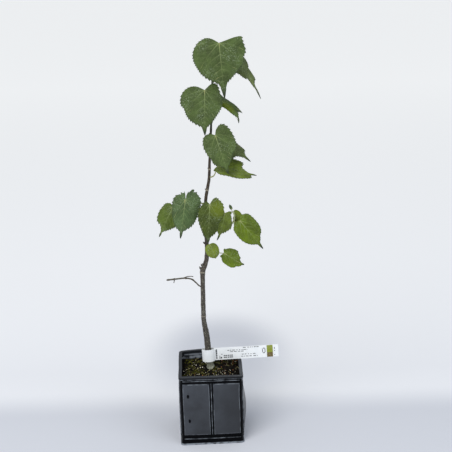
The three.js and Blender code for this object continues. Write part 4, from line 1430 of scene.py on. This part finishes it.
class Blade:
    """The bent sheet that one leaf's blade lies on, by the same rule as its solid."""

    def __init__(self, leaf):
        self.dents = leaf["dents"]
        self.base = np.array(leaf["base"], float)
        along = np.array(leaf["tip"], float) - self.base
        solid = np.linalg.norm(along)
        self.along = along / solid
        # The drip tip runs on past the solid's, while the rest of the blade keeps its size.
        self.length = solid + DRIP_TIPS.get(leaf["name"], 0)
        self.tail = (leaf["tail"] * solid + self.length - solid) / self.length
        self.left, self.right = (leaf[key][:3] + (leaf[key][3] * solid / self.length,)
                                 for key in ("left", "right"))
        compass, height = np.radians(leaf["faces"])
        level = math.cos(height)
        face = np.array([math.cos(compass) * level, math.sin(compass) * level, math.sin(height)])
        face -= self.along * face.dot(self.along)
        self.face = face / np.linalg.norm(face)
        self.side = np.cross(self.along, self.face)
        droop, curl, fold, cup = leaf["bend"]
        self.fold = math.radians(fold)
        self.cup = math.radians(cup) / max(self.left[0], self.right[0]) + 1e-9
        self.bend_midrib(math.radians(droop), math.radians(curl))
        self.widest = []
        for half in (self.left, self.right):
            turns = np.arange(0, 180)
            turns = turns[turns < half[1]]
            self.widest.append(np.max(reach_at(turns, half, self.tail) * np.sin(np.radians(turns))))

    def bend_midrib(self, droop, curl):
        """The bent midrib, turned so that it runs from base to tip, in shares of that distance."""
        share = np.linspace(0, 1, LEAF["rib_steps"] + 1)
        late = np.maximum(0, (share - LEAF["curl_from"]) / (1 - LEAF["curl_from"]))
        angle = droop * share + curl * late
        middle = (angle[1:] + angle[:-1]) / 2
        run = np.concatenate([[0], np.cumsum(np.cos(middle))]) / LEAF["rib_steps"]
        up = -np.concatenate([[0], np.cumsum(np.sin(middle))]) / LEAF["rib_steps"]
        chord = math.hypot(run[-1], up[-1])
        c, s = run[-1] / chord, up[-1] / chord
        self.share = share
        self.run = (run * c + up * s) / chord
        self.up = (up * c - run * s) / chord
        self.angle = angle + math.atan2(s, c)

    def flat(self, angle, out=1.0):
        """Millimetres across and along the flat blade, at signed degrees and a share outwards."""
        angle = np.asarray(angle, float)
        turn = np.abs(angle)
        out = out * (1 + sum(change * np.exp(-((angle - at) / spread) ** 2)
                             for at, change, spread in self.dents))
        across, along = np.zeros_like(turn), np.zeros_like(turn)
        for half, widest, sign in zip((self.left, self.right), self.widest, (1, -1)):
            chosen = (angle >= 0) == (sign > 0)
            reach = reach_at(turn, half, self.tail) * out
            side = sign * reach * np.sin(np.radians(turn)) * half[0] / widest
            across = np.where(chosen, side, across)
            along = np.where(chosen, reach * np.cos(np.radians(turn)), along)
        # The drip tip keeps some width until it ends.
        late = np.clip((along - 1 + self.tail) / (LEAF["tip_from"] * self.tail), 0, 1)
        width = LEAF["tip_half"] * size_share(self) * late
        width *= np.sqrt(np.clip((1 - along) / LEAF["tip_round"], 0, 1))
        across = across + np.sign(angle) * width * (1 - np.exp(-turn / LEAF["tip_spread"]))
        return across, along * self.length

    def place(self, across, along, lift=0.0):
        """A place on the flat blade carried onto the bent one, and lifted off it."""
        share = along / self.length
        inside = np.clip(share, 0, 1)
        angle = np.interp(inside, self.share, self.angle)
        back = np.minimum(share, 0)
        run = np.interp(inside, self.share, self.run) + back * np.cos(angle)
        up = np.interp(inside, self.share, self.up) - back * np.sin(angle)
        bend = self.fold + self.cup * np.abs(across)
        sideways = (np.sin(bend) - math.sin(self.fold)) / self.cup
        down = (np.cos(bend) - math.cos(self.fold)) / self.cup + lift * np.cos(bend)
        hand = np.sign(across)
        return (
            self.base
            + np.outer(hand * (sideways + lift * np.sin(bend)), self.side)
            + np.outer(run * self.length + down * np.sin(angle), self.along)
            + np.outer(up * self.length + down * np.cos(angle), self.face)
        )

    def veins(self):
        """The blade's veins as flat lines, each with its strength at the start and the end."""
        midrib = np.array([[0, y] for y in np.linspace(0, VEIN["midrib_to"], 12)]) * self.length
        lines = [(midrib, 1.0, VEIN["midrib_end"])]
        for sign, half in ((1, self.left), (-1, self.right)):
            for start, strength in BASAL_VEINS:
                if start > VEIN["starts_within"] * half[1]:
                    continue
                shares = np.linspace(0, VEIN["basal_to"], 10)
                basal = np.array([self.spine(sign * start, out) for out in shares])
                lines.append((basal, strength, VEIN["basal_end"] * strength))
                for out in VEIN_BRANCHES:
                    end = start + VEIN["lean"] * (VEIN["lean_until"] - out)
                    end = sign * min(end, VEIN["ends_within"] * half[1])
                    end = np.array(self.flat(end, VEIN["branch_to"]))
                    lines.append((bowed(self.spine(sign * start, out), end), *VEIN["branch"]))
            for share, end in SIDE_VEINS:
                foot = np.array([0, share * self.length])
                end = np.array(self.flat(sign * end, VEIN["side_to"]))
                lines.append((bowed(foot, end), *VEIN["side"]))
        return lines

    def spine(self, start, out):
        """A flat place on the basal vein that starts at an angle, at a share outwards."""
        return np.array(self.flat(start * (1 - VEIN["bend"] * out ** 2), out))


def bowed(start, end):
    """A flat line that leaves its parent at a wide angle and turns up towards the tip."""
    middle = start + (end - start) * np.array([0.58, 0.4])
    t = np.linspace(0, 1, 8)[:, None]
    return start * (1 - t) ** 2 + middle * 2 * t * (1 - t) + end * t * t


def vein_field(points, lines, width):
    """How strongly each flat point is on a vein, and how far it is from one."""
    on_vein, distance = np.zeros(len(points)), np.full(len(points), 99.0)
    for line, first, last in lines:
        # A vein is plain where it starts and soon gets faint.
        strengths = last + (first - last) * np.linspace(1, 0, len(line)) ** VEIN["fade"]
        for i in range(len(line) - 1):
            start, step = line[i], line[i + 1] - line[i]
            t = np.clip((points - start) @ step / max(step @ step, 1e-9), 0, 1)
            away = np.linalg.norm(points - start - t[:, None] * step, axis=1)
            strength = strengths[i] + (strengths[i + 1] - strengths[i]) * t
            reach = width * (0.55 + 0.45 * strength)
            on_vein = np.maximum(on_vein, strength * np.exp(-(away / reach) ** 2))
            distance = np.minimum(distance, away + 1.2 * (1 - strength))
    return on_vein, distance


def column_angles(blade, cell):
    """Signed angles whose places on the outline are a cell apart, and the run along it of each."""
    halves = []
    for half, sign in ((blade.right, -1), (blade.left, 1)):
        fine = np.linspace(0, half[1] * LEAF["notch"], FAN["fine"])
        across, along = blade.flat(sign * np.maximum(fine, 1e-6))
        run = np.concatenate([[0], np.cumsum(np.hypot(np.diff(across), np.diff(along)))])
        wanted = np.linspace(0, run[-1], max(FAN["least"], round(run[-1] / cell)) + 1)
        halves.append((sign * np.interp(wanted, run, fine), wanted, run[-1] - wanted))
    # Both halves start at the tip, so the right one is turned round to lead to it.
    return [np.concatenate([right[::-1], left[1:]]) for right, left in zip(*halves)]


def shape_blade(bm, leaf, settings, dice):
    """A fan of cells from the stalk to a toothed edge, quilted by its veins, given thickness."""
    blade = Blade(leaf)
    small = size_share(blade)
    cell = settings.cell / MM * (1 + FAN["small_share"] * (small - 1))
    angles, to_tip, from_notch = column_angles(blade, cell)
    columns = len(angles) - 1
    rows = max(FAN["least"], round(blade.length * FAN["length"] / cell))
    layers = {name: bm.verts.layers.float.new(name) for name in ("vein", "margin", "glow")}
    flat_map = bm.loops.layers.uv.new("flat")
    made = bmesh.ops.create_grid(bm, x_segments=columns, y_segments=rows, size=1.0)["verts"]
    grid = (np.array([vert.co[:2] for vert in made]) + 1) / 2
    column, out = np.rint(grid[:, 0] * columns).astype(int), grid[:, 1]

    across, along = blade.flat(angles[column], out)
    spacing = settings.tooth_spacing / MM * (0.6 + 0.4 * small)
    stray = FAN["tooth_stray"] * np.sin(from_notch / FAN["stray_length"])
    tooth = np.mod(from_notch / spacing + stray, 1.0) ** FAN["tooth_lean"] - FAN["tooth_low"]
    fade = np.clip((to_tip - FAN["smooth_tip"] * blade.length) / FAN["tip_fade"], 0, 1)
    fade *= np.clip(from_notch / FAN["notch_fade"], 0, 1)
    depth = settings.tooth_depth / MM * small * SHALLOW_TEETH.get(leaf["tint"], 1)
    toothed = FAN["toothed_from"]
    tooth = depth * (tooth * fade)[column] * np.clip((out - toothed) / (1 - toothed), 0, 1)
    longer = 1 + tooth / np.maximum(np.hypot(across, along), 1e-6)
    points = np.column_stack([across * longer, along * longer])
    across, along = points.T

    width = settings.vein_width / MM * (0.5 + 0.5 * small)
    on_vein, distance = vein_field(points, blade.veins(), width)
    swell = settings.quilting / MM * small * (1 - out ** 6)
    swell *= 1 - np.exp(-(distance / FAN["swell_reach"]) ** 2)
    phase = from_notch[column] / FAN["wave_length"] + dice.uniform(0, math.tau)
    wave = FAN["wave"] * small * out ** 3 * np.sin(phase) * fade[column]
    places = blade.place(across, along, swell + wave)

    tail = np.clip((along / blade.length - (1 - blade.tail)) / (0.6 * blade.tail), 0, 1)
    margin = np.clip((out - 1) / FAN["margin"] + 1, 0, 1) * FAN["margin_share"]
    # The glow is a patch of painted light, as if shining through the blade.
    glow = np.zeros(len(points))
    if leaf["glow"]:
        x, y, reach = leaf["glow"]
        x *= (blade.left if x > 0 else blade.right)[0]
        glow = np.exp(-(np.hypot(across - x, along - y * blade.length) / reach) ** 4)
    marks = {"vein": on_vein, "margin": np.maximum(margin, tail), "glow": glow}
    for i, vert in enumerate(made):
        vert.co = places[i]
        for name, layer in layers.items():
            vert[layer] = marks[name][i]
        for loop in vert.link_loops:
            loop[flat_map].uv = points[i] / 100
    bmesh.ops.remove_doubles(bm, verts=bm.verts, dist=1e-4)
    bm.normal_update()
    bmesh.ops.solidify(bm, geom=bm.faces[:], thickness=settings.thickness / MM)
    bmesh.ops.recalc_face_normals(bm, faces=bm.faces)
    upper = Vector(blade.face)
    for face in bm.faces:
        face.material_index = 0 if face.normal.dot(upper) > 0 else 1
    return blade


def shape_stalk(bm, leaf, blade, settings):
    """The stalk, swollen at both ends, which leaves its limb level and runs on under the blade."""
    limb, height = leaf["carrier"]
    line = smooth_line(STEM if limb == "stem" else SHOOT["main"][1:])
    centre, along, share = line_at(line, height)
    radius = SHOOT["radii"][0] - PETIOLE["shoot"] * share
    if limb == "stem":
        radius = stem_radius(height)
    base = Vector(blade.base)
    away = base - centre
    away = (away - along * away.dot(along)).normalized()
    start = centre + away * (radius - PETIOLE["sunk"])
    span = (base - start).length
    elbow = (start + away * span * PETIOLE["arch"]).lerp(base, PETIOLE["rise"])
    inset = settings.thickness / MM + 0.3
    under = [Vector(blade.place(np.array([0.0]), np.array([at]), -inset)[0])
             for at in (0.6, LEAF["stalk_under"], 0.5 * blade.length, 0.9 * blade.length)]
    knots = [start, start + away * PETIOLE["level"], elbow, *under]
    points = resample(smooth_line(knots), PETIOLE["step"])
    total = shares_of(points)[1]
    on_blade = min(range(len(points)), key=lambda i: (points[i] - under[0]).length)
    radii = []
    for i in range(len(points)):
        if i <= on_blade:
            part = i / on_blade
            size = PETIOLE["root"] + (PETIOLE["end"] - PETIOLE["root"]) * part
            for way, swell in ((part, PETIOLE["foot_swell"]), (1 - part, PETIOLE["end_swell"])):
                size += swell * math.exp(-(way * total / PETIOLE["swell_reach"]) ** 2)
        else:
            part = (i - on_blade) / (len(points) - on_blade)
            size = PETIOLE["end"] * (1 - 0.75 * part)
        radii.append(size * (0.55 + 0.45 * size_share(blade)))
    add_stalk(bm, points, radii, PETIOLE["sides"])


def add_stalk(bm, points, radii, sides):
    """A tube in the stalk's stuff, the third of a leaf."""
    part = bmesh.new()
    tube(part, points, radii, sides)
    for face in part.faces:
        face.material_index = 2
    bmesh.ops.recalc_face_normals(part, faces=part.faces)
    add_to(bm, part)


def shape_ribs(bm, blade, settings):
    """The veins that stand out under the blade, as thin ribs half sunk in it."""
    small = size_share(blade)
    root, end = VEIN["rib"]
    for line, first, _ in blade.veins()[1:]:
        if first < VEIN["least_rib"]:
            continue
        places = blade.place(line[:, 0], line[:, 1], -settings.thickness / MM)
        places = resample([Vector(p) for p in places], VEIN["rib_step"])
        radii = [size * small for size in tapered((root * first, end), places)]
        add_stalk(bm, places, radii, VEIN["rib_sides"])


class LINDEN_OT_leaves(Operator):
    """Makes every leaf: toothed, quilted and veined blade with its stalk"""

    bl_idname = "linden.leaves"
    bl_label = "Leaves"

    def execute(self, context):
        settings = context.scene.linden_leaf
        tints = {name: leaf_skin(name, getattr(settings, name), settings)
                 for name in LEAF_TINTS}
        below = leaf_underside(settings)
        stalk = stippled("leaf_stalk", settings.stalk, linear("#b3a878"), 0.5)
        dice = random.Random(23)
        for leaf in LEAVES:
            bm = bmesh.new()
            blade = shape_blade(bm, leaf, settings, dice)
            shape_stalk(bm, leaf, blade, settings)
            shape_ribs(bm, blade, settings)
            stuffs = [tints[leaf["tint"]], below, stalk]
            piece = finish_mesh(leaf["name"] + "_blade", bm, stuffs, crease=50)
            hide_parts(leaf["name"])
        return {"FINISHED"}


def leaf_net(stuff, strength):
    """The net of the finest veins, with meshes of about 1.3 mm, and its lines at a strength."""
    flat = stuff.add("UVMap", "UV", uv_map="flat")
    net = stuff.add("TexVoronoi", "Distance", feature="DISTANCE_TO_EDGE", Scale=75, Vector=flat)
    return net, stuff.ramp(net, 0.14, 0, high=strength)


def leaf_skin(name, base, settings):
    """Upper side of a linden leaf: dull green, mottled, with pale veins and a net between them."""
    stuff = Stuff("leaf_upper_" + name)
    mottle = stuff.ramp(stuff.cloud(75, 4, 0.6), 0.36, 0.64, 0.66, 1.3)
    body = stuff.vectors("MULTIPLY", base[:3], mottle)
    # A patch of painted light, as if shining through the blade.
    lit = stuff.mix(body, settings.glow, stuff.layer("glow"))
    # Powdery pale specks of about a millimetre lie in patches of two to three centimetres.
    specks = stuff.ramp(stuff.cloud(800, 1), 0.55, 0.7)
    patches = stuff.ramp(stuff.cloud(45, 1), 0.45, 0.62, high=0.75)
    dusty = stuff.mix(lit, settings.bloom, stuff.maths("MULTIPLY", specks, patches))
    net, lines = leaf_net(stuff, 0.16)
    netted = stuff.mix(dusty, settings.vein, lines)
    veined = stuff.mix(netted, settings.vein, stuff.maths("MULTIPLY", stuff.layer("vein"), 0.7))
    edged = stuff.mix(veined, settings.edge, stuff.layer("margin"))
    return stuff.finish(edged, 0.58, 0.16, (net, 0.35, 0.0002))


def leaf_underside(settings):
    """Underside of a linden leaf: paler, greyer and duller than the upper side."""
    stuff = Stuff("leaf_under")
    _, lines = leaf_net(stuff, 0.5)
    netted = stuff.mix(settings.underside, settings.vein, lines)
    return stuff.finish(stuff.mix(netted, settings.edge, stuff.layer("margin")), 0.75)


# ---------------------------------------------------------------- panel and registration


STEPS = (
    ("stage", LindenStageSettings, LINDEN_OT_stage),
    ("pot", LindenPotSettings, LINDEN_OT_pot),
    ("soil", LindenSoilSettings, LINDEN_OT_soil),
    ("tag", LindenTagSettings, LINDEN_OT_tag),
    ("bark", LindenBarkSettings, LINDEN_OT_stem),
    ("leaf", LindenLeafSettings, LINDEN_OT_leaves),
)


class LINDEN_PT_sidebar(Panel):
    """Lists each step of the plant with its sizes and colours"""

    bl_idname = "LINDEN_PT_sidebar"
    bl_label = "Young linden"
    bl_space_type = "VIEW_3D"
    bl_region_type = "UI"
    bl_category = "Linden"

    def draw(self, context):
        for key, _, operator in STEPS:
            box = self.layout.box()
            box.operator(operator.bl_idname)
            settings = getattr(context.scene, "linden_" + key)
            for name in settings.bl_rna.properties.keys():
                if name not in ("rna_type", "name"):
                    box.prop(settings, name)


def register():
    """Registers the settings, the operators and the panel."""
    for key, group, operator in STEPS:
        bpy.utils.register_class(group)
        bpy.utils.register_class(operator)
        setattr(bpy.types.Scene, "linden_" + key, PointerProperty(type=group))
    bpy.utils.register_class(LINDEN_PT_sidebar)


def unregister():
    """Takes away what register added."""
    bpy.utils.unregister_class(LINDEN_PT_sidebar)
    for key, group, operator in reversed(STEPS):
        delattr(bpy.types.Scene, "linden_" + key)
        bpy.utils.unregister_class(operator)
        bpy.utils.unregister_class(group)


def main():
    """Builds the whole plant."""
    register()
    bpy.ops.linden.stage()
    bpy.ops.linden.pot()
    bpy.ops.linden.soil()
    bpy.ops.linden.tag()
    bpy.ops.linden.stem()
    bpy.ops.linden.leaves()
    bpy.context.view_layer.update()


if __name__ == "__main__":
    main()
